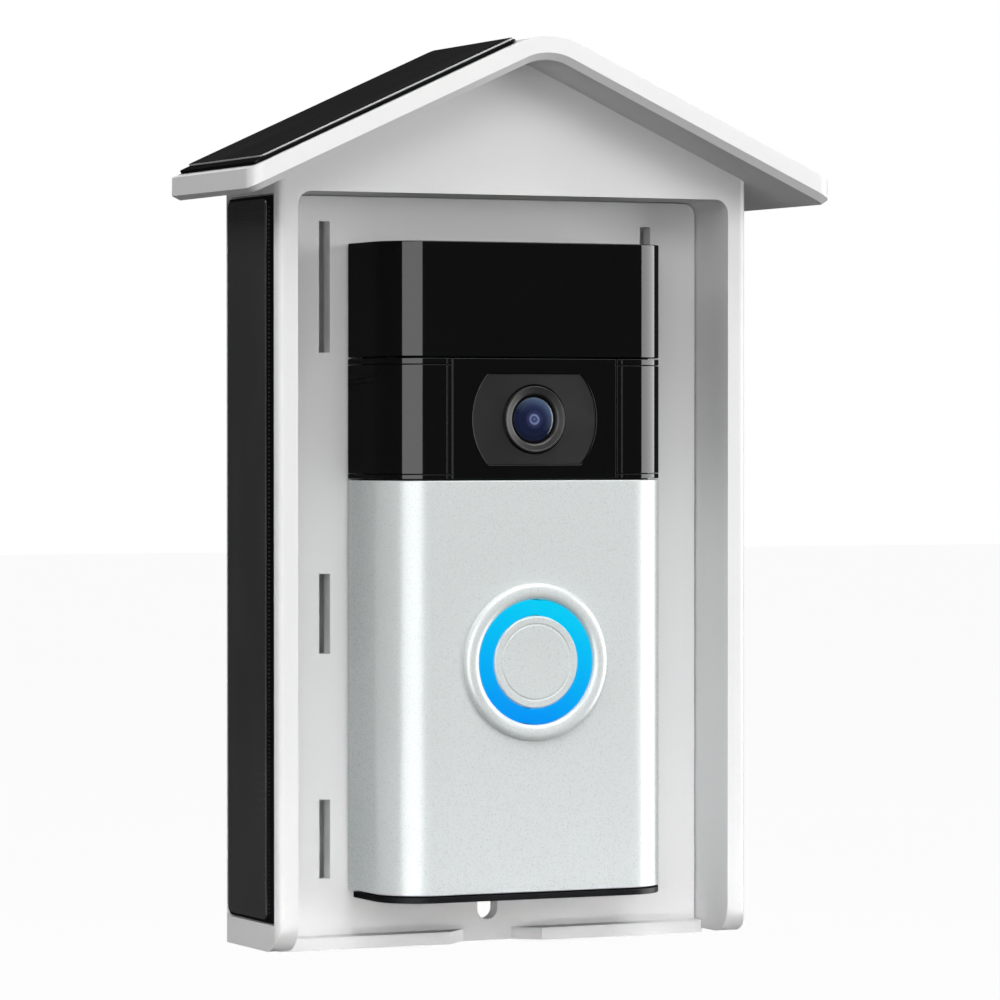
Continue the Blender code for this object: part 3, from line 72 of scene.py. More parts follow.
LOG = logging.getLogger("doorbell")
MERGE = 1e-6  # points this close are one point
FLAT = math.radians(0.6)  # faces that turn less than this are one flat face
SHARP = math.radians(30)  # edges that turn more than this are eased
FINE = 128  # faces round a turned piece
SCREW_STEPS = 48  # faces round a screw
PAST = 0.001  # how far a cutter reaches past what it cuts
MIX_FIRST, MIX_SECOND, MIX_RESULT = 6, 7, 2  # the colour sockets of a Mix node
DUST_FINER = 9.0  # specks of dust against the mottling's patches
DUST_BROADER = 0.4  # areas where dust gathers against the mottling's patches
GLOSS_FINER = 1.7  # uneven gloss against the mottling's patches
COAT_ROUGHNESS = 0.08
Triple = tuple[float, float, float]
Colour = Triple
Corner = tuple[float, float]
Socket = bpy.types.NodeSocket


# ---------------------------------------------------------------- finishes


class Grain(Enum):
    """Surface texture, as noise scale per metre, noise detail and height in metres."""

    MOULDED = (1500.0, 5.0, 0.000012)
    SATIN = (3200.0, 3.0, 0.000004)
    POLISHED = (260.0, 2.0, 0.0000015)
    RUBBERY = (2200.0, 6.0, 0.000025)
    TURNED = (5200.0, 2.0, 0.000005)
    PRINTED = (900.0, 4.0, 0.000008)


class Graph:
    """Node tree of one material, with its shader and its object coordinates."""

    def __init__(self, name: str) -> None:
        """Start a material with a Principled shader.

        Args:
            name: The material's name.
        """
        self.material = bpy.data.materials.new(name)
        self.material.use_nodes = True
        self.tree = self.material.node_tree
        self.shader = self.tree.nodes["Principled BSDF"]
        self.place = self.tree.nodes.new("ShaderNodeTexCoord").outputs["Object"]

    def node(self, kind: str, **settings: object) -> bpy.types.Node:
        """Add a node.

        Args:
            kind: The node's type name.
            settings: Attributes to set on it.

        Returns:
            The node.
        """
        made = self.tree.nodes.new(kind)
        for name, value in settings.items():
            setattr(made, name, value)
        return made

    def link(self, source: Socket, target: Socket) -> None:
        """Join two sockets."""
        self.tree.links.new(source, target)

    def mapped(
        self,
        turn: Triple = (0.0, 0.0, 0.0),
        stretch: Triple = (1.0, 1.0, 1.0),
        shift: Triple = (0.0, 0.0, 0.0),
    ) -> Socket:
        """Object coordinates, moved, turned and stretched.

        Args:
            turn: Angles about X, Y and Z.
            stretch: Scale along X, Y and Z.
            shift: Move along X, Y and Z.

        Returns:
            The vector socket.
        """
        mapping = self.node("ShaderNodeMapping")
        mapping.inputs["Location"].default_value = shift
        mapping.inputs["Rotation"].default_value = turn
        mapping.inputs["Scale"].default_value = stretch
        self.link(self.place, mapping.inputs["Vector"])
        return mapping.outputs["Vector"]

    def noise(self, scale: float, detail: float = 3.0, vector: Socket | None = None) -> Socket:
        """Noise over the piece.

        Args:
            scale: Features per metre.
            detail: How many finer layers it has.
            vector: Coordinates, or None for the object's own.

        Returns:
            The value socket.
        """
        made = self.node("ShaderNodeTexNoise")
        made.inputs["Scale"].default_value = scale
        made.inputs["Detail"].default_value = detail
        self.link(vector or self.place, made.inputs["Vector"])
        return made.outputs["Fac"]

    def ramp(self, factor: Socket, stops: Sequence[tuple[float, Colour]]) -> Socket:
        """Colours along a factor.

        Args:
            factor: The value socket that picks the colour.
            stops: Position and colour of each stop.

        Returns:
            The colour socket.
        """
        made = self.node("ShaderNodeValToRGB")
        elements = made.color_ramp.elements
        for index, (position, colour) in enumerate(stops):
            stop = elements[index] if index < 2 else elements.new(position)
            stop.position = position
            stop.color = (*colour, 1.0)
        self.link(factor, made.inputs["Fac"])
        return made.outputs["Color"]

    def spread(self, value: Socket, low: float, high: float, source: Corner = (0.3, 0.7)) -> Socket:
        """Map a value onto a range.

        Args:
            value: The socket to map.
            low: Result at the lower end.
            high: Result at the upper end.
            source: The range that the value has.

        Returns:
            The mapped value socket.
        """
        made = self.node("ShaderNodeMapRange")
        made.inputs["From Min"].default_value = source[0]
        made.inputs["From Max"].default_value = source[1]
        made.inputs["To Min"].default_value = low
        made.inputs["To Max"].default_value = high
        self.link(value, made.inputs["Value"])
        return made.outputs["Result"]

    def mix(self, factor: Socket, first: Socket, second: Socket) -> Socket:
        """Mix two colours.

        Args:
            factor: The second colour's share.
            first: The first colour's socket.
            second: The second colour's socket.

        Returns:
            The colour socket.
        """
        made = self.node("ShaderNodeMix", data_type="RGBA")
        self.link(factor, made.inputs["Factor"])
        self.link(first, made.inputs[MIX_FIRST])
        self.link(second, made.inputs[MIX_SECOND])
        return made.outputs[MIX_RESULT]

    def math(self, operation: str, first: Socket, second: Socket | float | None = None) -> Socket:
        """One arithmetic step.

        Args:
            operation: Name of the operation.
            first: The first socket.
            second: The second socket or number, if there is one.

        Returns:
            The value socket.
        """
        made = self.node("ShaderNodeMath", operation=operation)
        self.link(first, made.inputs[0])
        if isinstance(second, (int, float)):
            made.inputs[1].default_value = second
        elif second is not None:
            self.link(second, made.inputs[1])
        return made.outputs[0]

    def axis(self, name: str) -> Socket:
        """One of the object coordinates.

        Args:
            name: The coordinate's letter.

        Returns:
            The value socket.
        """
        split = self.node("ShaderNodeSeparateXYZ")
        self.link(self.place, split.inputs["Vector"])
        return split.outputs[name]

    def bump(self, height: Socket, depth: float) -> None:
        """Give the shader a bump.

        Args:
            height: The value socket that raises it.
            depth: Its height in metres.
        """
        made = self.node("ShaderNodeBump")
        made.inputs["Strength"].default_value = 1.0
        made.inputs["Distance"].default_value = depth
        self.link(height, made.inputs["Height"])
        self.link(made.outputs["Normal"], self.shader.inputs["Normal"])


@dataclass(frozen=True)
class Finish:
    """Opaque finish with mottling, faint dust, uneven gloss and a fine grain."""

    slot: str
    colour: Colour
    shade: float = 0.93
    patch: float = 60.0
    patch_detail: float = 3.0
    rough: Corner = (0.4, 0.5)
    grain: Grain = Grain.MOULDED
    metallic: float = 0.0
    coat: float = 0.0
    specular: float = 0.5
    dust: float = 0.02

    def material(self) -> bpy.types.Material:
        """Return this finish's material, made once."""
        return bpy.data.materials.get(self.slot + "_finish") or self.build()

    def build(self) -> bpy.types.Material:
        """Make the material.

        Returns:
            The new material.
        """
        graph = Graph(self.slot + "_finish")
        self.fill(graph)
        shader = graph.shader.inputs
        shader["Metallic"].default_value = self.metallic
        shader["Specular IOR Level"].default_value = self.specular
        shader["Coat Weight"].default_value = self.coat
        shader["Coat Roughness"].default_value = COAT_ROUGHNESS
        return graph.material

    def fill(self, graph: Graph) -> None:
        """Colour, gloss and grain of the finish."""
        graph.link(self.tone(graph), graph.shader.inputs["Base Color"])
        self.surface(graph)

    def tone(self, graph: Graph) -> Socket:
        """Mottled colour with faint dust.

        Args:
            graph: The material's nodes.

        Returns:
            The colour socket.
        """
        darker = tuple(self.shade * channel for channel in self.colour)
        patches = graph.noise(self.patch, self.patch_detail)
        mottled = graph.ramp(patches, ((0.3, darker), (0.7, self.colour)))
        dusty = tuple(channel + self.dust * (1 - channel) for channel in self.colour)
        specks = graph.noise(self.patch * DUST_FINER, self.patch_detail)
        speck = graph.ramp(specks, ((0.55, darker), (0.8, dusty)))
        where = graph.spread(graph.noise(self.patch * DUST_BROADER, 2.0), 0.0, 0.6)
        return graph.mix(where, mottled, speck)

    def surface(self, graph: Graph) -> None:
        """Uneven gloss and the fine grain.

        Args:
            graph: The material's nodes.
        """
        scale, detail, depth = self.grain.value
        uneven = graph.noise(self.patch * GLOSS_FINER, self.patch_detail)
        graph.link(graph.spread(uneven, *self.rough), graph.shader.inputs["Roughness"])
        graph.bump(graph.noise(scale, detail), depth)


@dataclass(frozen=True)
class CellFinish(Finish):
    """Solar cells under a clear sheet: near black, with soft patches and faint fingers."""

    finger_pitch: float = 0.0016
    finger_width: float = 0.07
    finger_share: float = 0.25
    finger_lift: float = 0.02
    patch_tone: Colour = (0.014, 0.014, 0.015)

    def tone(self, graph: Graph) -> Socket:
        """Patchy black crossed by thin fingers.

        Args:
            graph: The material's nodes.

        Returns:
            The colour socket.
        """
        stretched = graph.mapped(stretch=(0.5, 2.2, 0.8), turn=(0.0, 0.0, 0.5))
        clouds = graph.noise(self.patch, 1.5, stretched)
        base = graph.ramp(clouds, ((0.42, self.colour), (0.75, self.patch_tone)))
        along = graph.math("ABSOLUTE", graph.axis("Z"))
        phase = graph.math("FRACT", graph.math("DIVIDE", along, self.finger_pitch))
        on_finger = graph.math("LESS_THAN", phase, self.finger_width)
        thin = graph.math("MULTIPLY", on_finger, self.finger_share)
        lighter = tuple(channel + self.finger_lift for channel in self.patch_tone)
        finger = graph.ramp(clouds, ((0.0, self.patch_tone), (1.0, lighter)))
        return graph.mix(thin, base, finger)


@dataclass(frozen=True)
class RingLight(Finish):
    """Lit translucent ring, a little greener at its top than at its foot."""

    low: float = 0.0
    high: float = 1.0
    lean: float = 0.25
    glow: float = 0.9
    foot: Colour = (0.0, 0.31, 1.0)
    crown: Colour = (0.0, 0.68, 1.0)

    def fill(self, graph: Graph) -> None:
        """Glow that changes along the height.

        Args:
            graph: The material's nodes.
        """
        leaning = graph.math("ADD", graph.axis("Z"), graph.math("MULTIPLY", graph.axis("X"), self.lean))
        height = graph.spread(leaning, 0.0, 1.0, (self.low, self.high))
        glow = graph.ramp(height, ((0.0, self.foot), (1.0, self.crown)))
        uneven = graph.ramp(graph.noise(180.0, 2.0), ((0.3, self.foot), (0.7, self.crown)))
        share = graph.spread(graph.noise(90.0, 2.0), 0.0, 0.12)
        graph.link(graph.mix(share, glow, uneven), graph.shader.inputs["Emission Color"])
        graph.shader.inputs["Emission Strength"].default_value = self.glow
        graph.link(self.tone(graph), graph.shader.inputs["Base Color"])
        self.surface(graph)


@dataclass(frozen=True)
class LensGlass(Finish):
    """Coated glass whose colour changes from its middle outwards, with painted reflections on it."""

    centre: Triple = (0.0, 0.0, 0.0)
    radius: float = 0.0044
    painted_reflection_towards: Triple = (0.55, 0.0, 0.84)

    def tone(self, graph: Graph) -> Socket:
        """Rings of navy and violet about the lens's axis, with a pale centre and a pale ring close
        round it that are painted reflections, and painted paler towards the upper right as a painted
        reflection.

        Args:
            graph: The material's nodes.

        Returns:
            The colour socket.
        """
        moved = graph.mapped(shift=tuple(-place for place in self.centre))
        flat = graph.node("ShaderNodeVectorMath", operation="MULTIPLY")
        flat.inputs[1].default_value = (1.0, 0.0, 1.0)
        graph.link(moved, flat.inputs[0])
        length = graph.node("ShaderNodeVectorMath", operation="LENGTH")
        graph.link(flat.outputs[0], length.inputs[0])
        leaning = graph.node("ShaderNodeVectorMath", operation="DOT_PRODUCT")
        leaning.inputs[1].default_value = self.painted_reflection_towards
        graph.link(flat.outputs[0], leaning.inputs[0])
        wobble = graph.spread(graph.noise(500.0, 2.0), -0.02, 0.02)
        share = graph.math("DIVIDE", length.outputs["Value"], self.radius)
        share = graph.math("ADD", share, wobble)
        # The pale centre spot (0.0) and the pale ring close round it (0.18) are painted reflections;
        # the darker rings are the glass's navy and violet.
        deep = (
            (0.0, (0.20, 0.25, 0.42)),
            (0.05, (0.02, 0.03, 0.10)),
            (0.13, (0.05, 0.06, 0.16)),
            (0.18, (0.20, 0.25, 0.42)),
            (0.25, (0.03, 0.035, 0.11)),
            (0.34, (0.022, 0.024, 0.062)),
            (0.42, (0.009, 0.014, 0.045)),
            (0.62, (0.007, 0.012, 0.040)),
            (0.68, (0.015, 0.018, 0.048)),
            (0.74, (0.006, 0.010, 0.032)),
            (0.94, (0.012, 0.016, 0.045)),
            (0.99, (0.003, 0.004, 0.008)),
        )
        # Stops for the side towards the upper right: paler, with a blue-grey band near the rim, a
        # painted reflection.
        pale = (
            (0.0, (0.20, 0.25, 0.42)),
            (0.13, (0.05, 0.06, 0.16)),
            (0.18, (0.22, 0.27, 0.45)),
            (0.26, (0.03, 0.035, 0.11)),
            (0.44, (0.018, 0.026, 0.072)),
            (0.60, (0.034, 0.052, 0.115)),
            (0.80, (0.070, 0.105, 0.18)),
            (0.95, (0.15, 0.19, 0.23)),
            (0.99, (0.003, 0.004, 0.008)),
        )
        # Mix towards the painted reflection on the upper-right side.
        half = self.radius * 0.75
        where = graph.spread(leaning.outputs["Value"], 0.0, 1.0, (-half * 0.2, half))
        return graph.mix(where, graph.ramp(share, deep), graph.ramp(share, pale))


WHITE = Finish(
    "white_plastic", (0.82, 0.82, 0.82), shade=0.99, patch_detail=2.0, rough=(0.42, 0.50), dust=0.005
)
GLOSS_BLACK = Finish(
    "black_gloss",
    (0.0045, 0.0045, 0.005),
    shade=0.8,
    rough=(0.035, 0.07),
    grain=Grain.POLISHED,
    dust=0.002,
)
BLACK = Finish(
    "black_plastic", (0.005, 0.005, 0.006), shade=0.8, rough=(0.38, 0.5), specular=0.2, dust=0.001
)
DARK = Finish(
    "dark_plate",
    (0.022, 0.022, 0.0225),
    shade=0.55,
    patch=25.0,
    rough=(0.3, 0.4),
    grain=Grain.SATIN,
    dust=0.004,
)
SILVER = Finish(
    "silver_paint",
    (0.70, 0.74, 0.735),
    shade=0.997,
    patch=2600.0,
    patch_detail=2.0,
    rough=(0.27, 0.285),
    grain=Grain.SATIN,
    metallic=0.12,
    dust=0.0,
)
# Roof cells: colour set very dark to make up for the strong light that falls on the roof from above, a
# painted shade.
CELLS = CellFinish(
    "solar_cell", (0.003, 0.003, 0.0035), patch=34.0, rough=(0.09, 0.16), grain=Grain.POLISHED
)
# Side cells: the same cells as the roof's, painted lighter (0.044 against 0.003) because less light
# falls on the side walls: painted light.
SIDE_SHEET_PAINTED_LIGHTER = CellFinish(
    "side_sheet_painted_lighter",
    (0.044, 0.044, 0.045),
    patch=34.0,
    rough=(0.12, 0.2),
    grain=Grain.POLISHED,
    patch_tone=(0.058, 0.058, 0.059),
)
PANEL = Finish(
    "panel_black",
    (0.0025, 0.0025, 0.003),
    shade=0.7,
    rough=(0.3, 0.42),
    grain=Grain.PRINTED,
    specular=0.2,
    dust=0.001,
)
# Light grey for the edges of the roof cell sheets: a painted highlight.
CELL_RIM_HIGHLIGHT = Finish("cell_rim_highlight", (0.55, 0.55, 0.55), shade=0.9, rough=(0.3, 0.4), grain=Grain.SATIN)
DOT = Finish(
    "panel_dot", (0.045, 0.045, 0.045), shade=0.8, rough=(0.4, 0.5), grain=Grain.SATIN, dust=0.0
)
RING_BLACK = Finish(
    "lens_ring", (0.024, 0.0235, 0.023), shade=0.8, rough=(0.3, 0.4), grain=Grain.SATIN, dust=0.003
)
GREEN = Finish(
    "board_green", (0.015, 0.12, 0.05), shade=0.6, patch=300.0, rough=(0.3, 0.5), grain=Grain.PRINTED
)
STEEL = Finish(
    "steel",
    (0.55, 0.55, 0.56),
    shade=0.85,
    patch=500.0,
    rough=(0.22, 0.38),
    grain=Grain.TURNED,
    metallic=1.0,
)
RUBBER = Finish("rubber", (0.025, 0.025, 0.025), shade=0.8, rough=(0.7, 0.85), grain=Grain.RUBBERY)
WRAP = Finish("battery_wrap", (0.04, 0.13, 0.36), shade=0.8, rough=(0.3, 0.42), grain=Grain.SATIN)
RED = Finish(
    "lead_red", (0.4, 0.02, 0.02), shade=0.85, patch=300.0, rough=(0.4, 0.5), grain=Grain.SATIN
)
LEAD = Finish("lead_black", (0.015, 0.015, 0.015), shade=0.8, patch=300.0, grain=Grain.SATIN)
ORANGE = Finish("setup_orange", (0.8, 0.26, 0.03), shade=0.9, patch=200.0, rough=(0.35, 0.45))
MILKY = Finish("milky_lens", (0.75, 0.75, 0.73), shade=0.95, patch=150.0, rough=(0.3, 0.4))
BRASS = Finish(
    "brass",
    (0.65, 0.46, 0.2),
    shade=0.85,
    patch=400.0,
    rough=(0.25, 0.35),
    grain=Grain.TURNED,
    metallic=1.0,
)
DARK_GLASS = Finish(
    "lens_glass", (0.01, 0.012, 0.02), rough=(0.03, 0.06), grain=Grain.POLISHED, coat=0.6
)
FINISHES = {
    finish.slot: finish
    for finish in (
        WHITE, GLOSS_BLACK, BLACK, DARK, SILVER, CELLS, PANEL, GREEN, STEEL,
        RUBBER, WRAP, RED, LEAD, ORANGE, MILKY, BRASS, DARK_GLASS,
    )
}


# ---------------------------------------------------------------- shaping


def middle(node: str) -> Vector:
    """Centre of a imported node's box."""
    low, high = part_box(node)
    return (low + high) / 2


def block(low: Sequence[float], high: Sequence[float]) -> bmesh.types.BMesh:
    """Box between two corners.

    Args:
        low: The lowest corner.
        high: The highest corner.

    Returns:
        The new bmesh.
    """
    bm = bmesh.new()
    bmesh.ops.create_cube(bm, size=1.0)
    bmesh.ops.scale(bm, vec=Vector(high) - Vector(low), verts=bm.verts)
    bmesh.ops.translate(bm, vec=(Vector(high) + Vector(low)) / 2, verts=bm.verts)
    return bm


def turned(profile: Sequence[Corner], centre: Corner, steps: int = FINE) -> bmesh.types.BMesh:
    """Turn a profile about a line along Y.

    Args:
        profile: Points of (radius, y), from the axis or round a closed outline.
        centre: The line's x and z.
        steps: How many faces go round.

    Returns:
        The new bmesh.
    """
    bm = bmesh.new()
    verts = [bm.verts.new((radius, y, 0.0)) for radius, y in profile]
    edges = [bm.edges.new(pair) for pair in zip(verts, verts[1:])]
    if min(profile[0][0], profile[-1][0]) > 0.0:
        edges.append(bm.edges.new((verts[-1], verts[0])))
    bmesh.ops.spin(
        bm,
        geom=verts + edges,
        cent=(0, 0, 0),
        axis=(0, 1, 0),
        angle=math.tau,
        steps=steps,
        use_merge=True,
    )
    bmesh.ops.remove_doubles(bm, verts=bm.verts, dist=MERGE / 10)
    bmesh.ops.translate(bm, vec=(centre[0], 0.0, centre[1]), verts=bm.verts)
    bmesh.ops.recalc_face_normals(bm, faces=bm.faces)
    return bm


def bar(radius: float, front: float, back: float, centre: Corner) -> bmesh.types.BMesh:
    """Round bar along Y, as a bmesh."""
    return turned([(0.0, front), (radius, front), (radius, back), (0.0, back)], centre)


def soften(
    bm: bmesh.types.BMesh, edges: Sequence[bmesh.types.BMEdge], radius: float, segments: int
) -> None:
    """Round some edges.

    Args:
        bm: The bmesh that holds them.
        edges: The edges to round.
        radius: How far the rounding reaches.
        segments: How many faces it has.
    """
    bmesh.ops.bevel(
        bm,
        geom=edges,
        offset=radius,
        offset_type="OFFSET",
        affect="EDGES",
        segments=segments,
        profile=0.5,
        material=-1,
    )


def copied(node: str) -> bmesh.types.BMesh:
    """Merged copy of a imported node's mesh, with its flat faces made whole.

    Args:
        node: The node's name.

    Returns:
        The new bmesh.
    """
    bm = bmesh.new()
    bm.from_mesh(frame["nodes"][node].data)
    bmesh.ops.remove_doubles(bm, verts=bm.verts, dist=MERGE)
    bmesh.ops.dissolve_limit(bm, angle_limit=FLAT, verts=bm.verts, edges=bm.edges)
    bmesh.ops.recalc_face_normals(bm, faces=bm.faces)
    return bm


@dataclass
class Piece:
    """One visible piece: its name, its finish, what it stands for and how its edges are eased."""

    name: str
    finish: Finish
    stands_for: tuple[str, ...] = ()
    body: str = "shelter"
    ease: float = 0.0
    segments: int = 3
    wall: float = 0.0
    angle: float = SHARP
    slot: str = ""
    mirrored_in_gloss: bool = True

    def make(
        self, bm: bmesh.types.BMesh, cutters: Sequence[bmesh.types.BMesh] = ()
    ) -> bpy.types.Object:
        """Finish a bmesh as an object that rides on its body.

        Args:
            bm: The rough shape, which is used up.
            cutters: Shapes that are taken away from it.

        Returns:
            The finished object.
        """
        mesh = bpy.data.meshes.new(self.name)
        bm.to_mesh(mesh)
        bm.free()
        thing = bpy.data.objects.new(self.name, mesh)
        bpy.context.scene.collection.objects.link(thing)
        tools = [self.carve(thing, index, cutter) for index, cutter in enumerate(cutters)]
        if self.wall:
            wall = thing.modifiers.new("wall", "SOLIDIFY")
            wall.thickness = self.wall
            wall.offset = -1.0
            wall.use_even_offset = True
            thing.modifiers.move(len(thing.modifiers) - 1, 0)
        self.settle(thing)
        for tool in tools:
            bpy.data.objects.remove(tool)
        self.round_edges(thing)
        thing.data.materials.clear()
        thing.data.materials.append(self.finish.material())
        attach(thing, self.body)
        thing.visible_glossy = self.mirrored_in_gloss
        if self.stands_for:
            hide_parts(*self.stands_for)
        LOG.info("%s: %d faces", self.name, len(thing.data.polygons))
        return thing

    def carve(
        self, thing: bpy.types.Object, index: int, cutter: bmesh.types.BMesh
    ) -> bpy.types.Object:
        """Give a piece a Boolean that takes a shape away.

        Args:
            thing: The piece.
            index: The cutter's number.
            cutter: The shape, which is used up.

        Returns:
            The helper object.
        """
        bmesh.ops.recalc_face_normals(cutter, faces=cutter.faces)
        mesh = bpy.data.meshes.new(f"{self.name}_cutter_{index}")
        cutter.to_mesh(mesh)
        cutter.free()
        tool = bpy.data.objects.new(mesh.name, mesh)
        bpy.context.scene.collection.objects.link(tool)
        step = thing.modifiers.new(f"cut_{index}", "BOOLEAN")
        step.operation = "DIFFERENCE"
        step.solver = "EXACT"
        step.object = tool
        return tool

    def settle(self, thing: bpy.types.Object) -> None:
        """Make the modifiers' result the piece's own mesh.

        Args:
            thing: The piece.
        """
        if not thing.modifiers:
            return
        graph = bpy.context.evaluated_depsgraph_get()
        thing.data = bpy.data.meshes.new_from_object(thing.evaluated_get(graph))
        thing.modifiers.clear()

    def round_edges(self, thing: bpy.types.Object) -> None:
        """Ease the sharp edges and shade the piece smoothly.

        Args:
            thing: The piece.
        """
        if self.ease:
            bm = bmesh.new()
            bm.from_mesh(thing.data)
            bmesh.ops.remove_doubles(bm, verts=bm.verts, dist=MERGE)
            bmesh.ops.dissolve_limit(bm, angle_limit=FLAT, verts=bm.verts, edges=bm.edges)
            bm.to_mesh(thing.data)
            bm.free()
            easing = thing.modifiers.new("ease", "BEVEL")
            easing.width = self.ease
            easing.segments = self.segments
            easing.limit_method = "ANGLE"
            easing.angle_limit = self.angle
            easing.use_clamp_overlap = True
        thing.data.shade_smooth()
        if not self.ease:
            thing.data.set_sharp_from_angle(angle=SHARP)
        weigh = thing.modifiers.new("weigh", "WEIGHTED_NORMAL")
        weigh.keep_sharp = True
        weigh.weight = 100
        self.settle(thing)


# ---------------------------------------------------------------- shelter


@dataclass
class Shelter:
    """White moulded house with its mounting plate, its rear cover and the cover's screws."""

    shell_ease: float = 0.0004
    plate_ease: float = 0.0003
    cover_ease: float = 0.0002
    head_height: float = 0.0008
    head_rim: float = 0.0003
    head_shoulder: float = 0.0004
    head_crown: float = 0.0001
    slot_width: float = 0.0007
    slot_depth: float = 0.0004

    def build(self) -> None:
        """Make every piece of the shelter."""
        self.moulding("shelter_shell", self.shell_ease)
        self.moulding("mounting_plate", self.plate_ease)
        self.moulding("rear_cover", self.cover_ease)
        for level in ("upper", "lower"):
            for side in ("left", "right"):
                self.screw(f"cover_screw_{level}_{side}")

    def moulding(self, node: str, ease: float) -> None:
        """Make a white moulding with eased edges, in the place of a packed one."""
        piece = Piece(f"{node}_fine", WHITE, (node,), ease=ease, mirrored_in_gloss=False)
        piece.make(copied(node))

    def screw(self, node: str) -> None:
        """Make one pan-head screw with a cross recess, in the place of a packed screw.

        Args:
            node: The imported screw.
        """
        low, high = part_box(node)
        centre = middle(node)
        face = high.y
        radius = (high.x - low.x) / 2
        shank = radius / 2
        seat = face - self.head_height
        profile = [
            (0.0, low.y),
            (shank * 0.7, low.y),
            (shank, low.y + shank * 0.6),
            (shank, seat),
            (radius, seat),
            (radius, face - self.head_rim),
            (radius - self.head_shoulder, face - self.head_crown),
            (0.0, face),
        ]
        recess = []
        for wide, tall in ((radius * 1.1, self.slot_width), (self.slot_width, radius * 1.1)):
            half = Vector((wide / 2, 0.0, tall / 2))
            corner = Vector((centre.x, face - self.slot_depth, centre.z)) - half
            far = Vector((centre.x, face + self.slot_depth, centre.z)) + half
            recess.append(block(corner, far))
        body = turned(profile, (centre.x, centre.z), SCREW_STEPS)
        piece = Piece(f"{node}_fine", STEEL, (node,), ease=0.00006, segments=2, mirrored_in_gloss=False)
        piece.make(body, recess)


@dataclass
class SolarPanels:
    """Laminated panels on the two slopes and on the two side walls."""

    corner: float = 0.0012
    corner_steps: int = 6
    dot_radius: float = 0.00016
    dot_pitch: float = 0.0008
    dot_inset: float = 0.0009
    dot_margin: float = 0.002

    def build(self) -> None:
        """Make the sheets of the four panels and the dotted seams on the side panels."""
        for side in ("left", "right"):
            self.sheet(f"roof_panel_base_{side}", PANEL)
            self.sheet(f"roof_panel_cells_{side}", CELLS)
            self.sheet(f"side_panel_base_{side}", PANEL)
            self.sheet(f"side_panel_cells_{side}", SIDE_SHEET_PAINTED_LIGHTER)
            self.dots(side)

    def sheet(self, node: str, finish: Finish) -> None:
        """Make one sheet with rounded corners, in the place of a packed sheet.

        Args:
            node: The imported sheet.
            finish: The sheet's finish.
        """
        bm = copied(node)
        shortest = min(edge.calc_length() for edge in bm.edges)
        short = [edge for edge in bm.edges if edge.calc_length() < shortest * 1.5]
        soften(bm, short, self.corner, self.corner_steps)
        slot = "panel_black" if finish is PANEL else "solar_cell"
        piece = Piece(f"{node}_fine", finish, (node,), ease=0.00006, segments=2, slot=slot)
        piece.mirrored_in_gloss = False
        thing = piece.make(bm)
        # The roof sheets' edges get a painted highlight.
        if finish is CELLS:
            self.paint_rim_highlight(thing)

    def paint_rim_highlight(self, thing: bpy.types.Object) -> None:
        """Paint the cut edge of a cell sheet light grey, a painted highlight for the light that the
        sheet's edge catches.

        Args:
            thing: The sheet.
        """
        thing.data.materials.append(CELL_RIM_HIGHLIGHT.material())
        widest = max(thing.data.polygons, key=lambda face: face.area)
        for face in thing.data.polygons:
            if abs(face.normal.dot(widest.normal)) < 0.9:
                face.material_index = 1

    def dots(self, side: str) -> None:
        """Row of small raised dots between a side panel's front band and its cells.

        Args:
            side: The side that the panel is on.
        """
        low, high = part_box(f"side_panel_base_{side}")
        cells_low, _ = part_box(f"side_panel_cells_{side}")
        outer = -1 if side == "left" else 1
        face = low.x if outer < 0 else high.x
        count = int((high.z - low.z - self.dot_margin * 1.5) / self.dot_pitch)
        bm = bmesh.new()
        for index in range(count):
            height = low.z + self.dot_margin + index * self.dot_pitch
            place = Vector((face, cells_low.y - self.dot_inset, height))
            made = bmesh.ops.create_uvsphere(bm, u_segments=6, v_segments=4, radius=self.dot_radius)
            bmesh.ops.translate(bm, vec=place, verts=made["verts"])
        Piece(f"side_panel_dots_{side}", DOT, slot="panel_black").make(bm)


# ---------------------------------------------------------------- doorbell


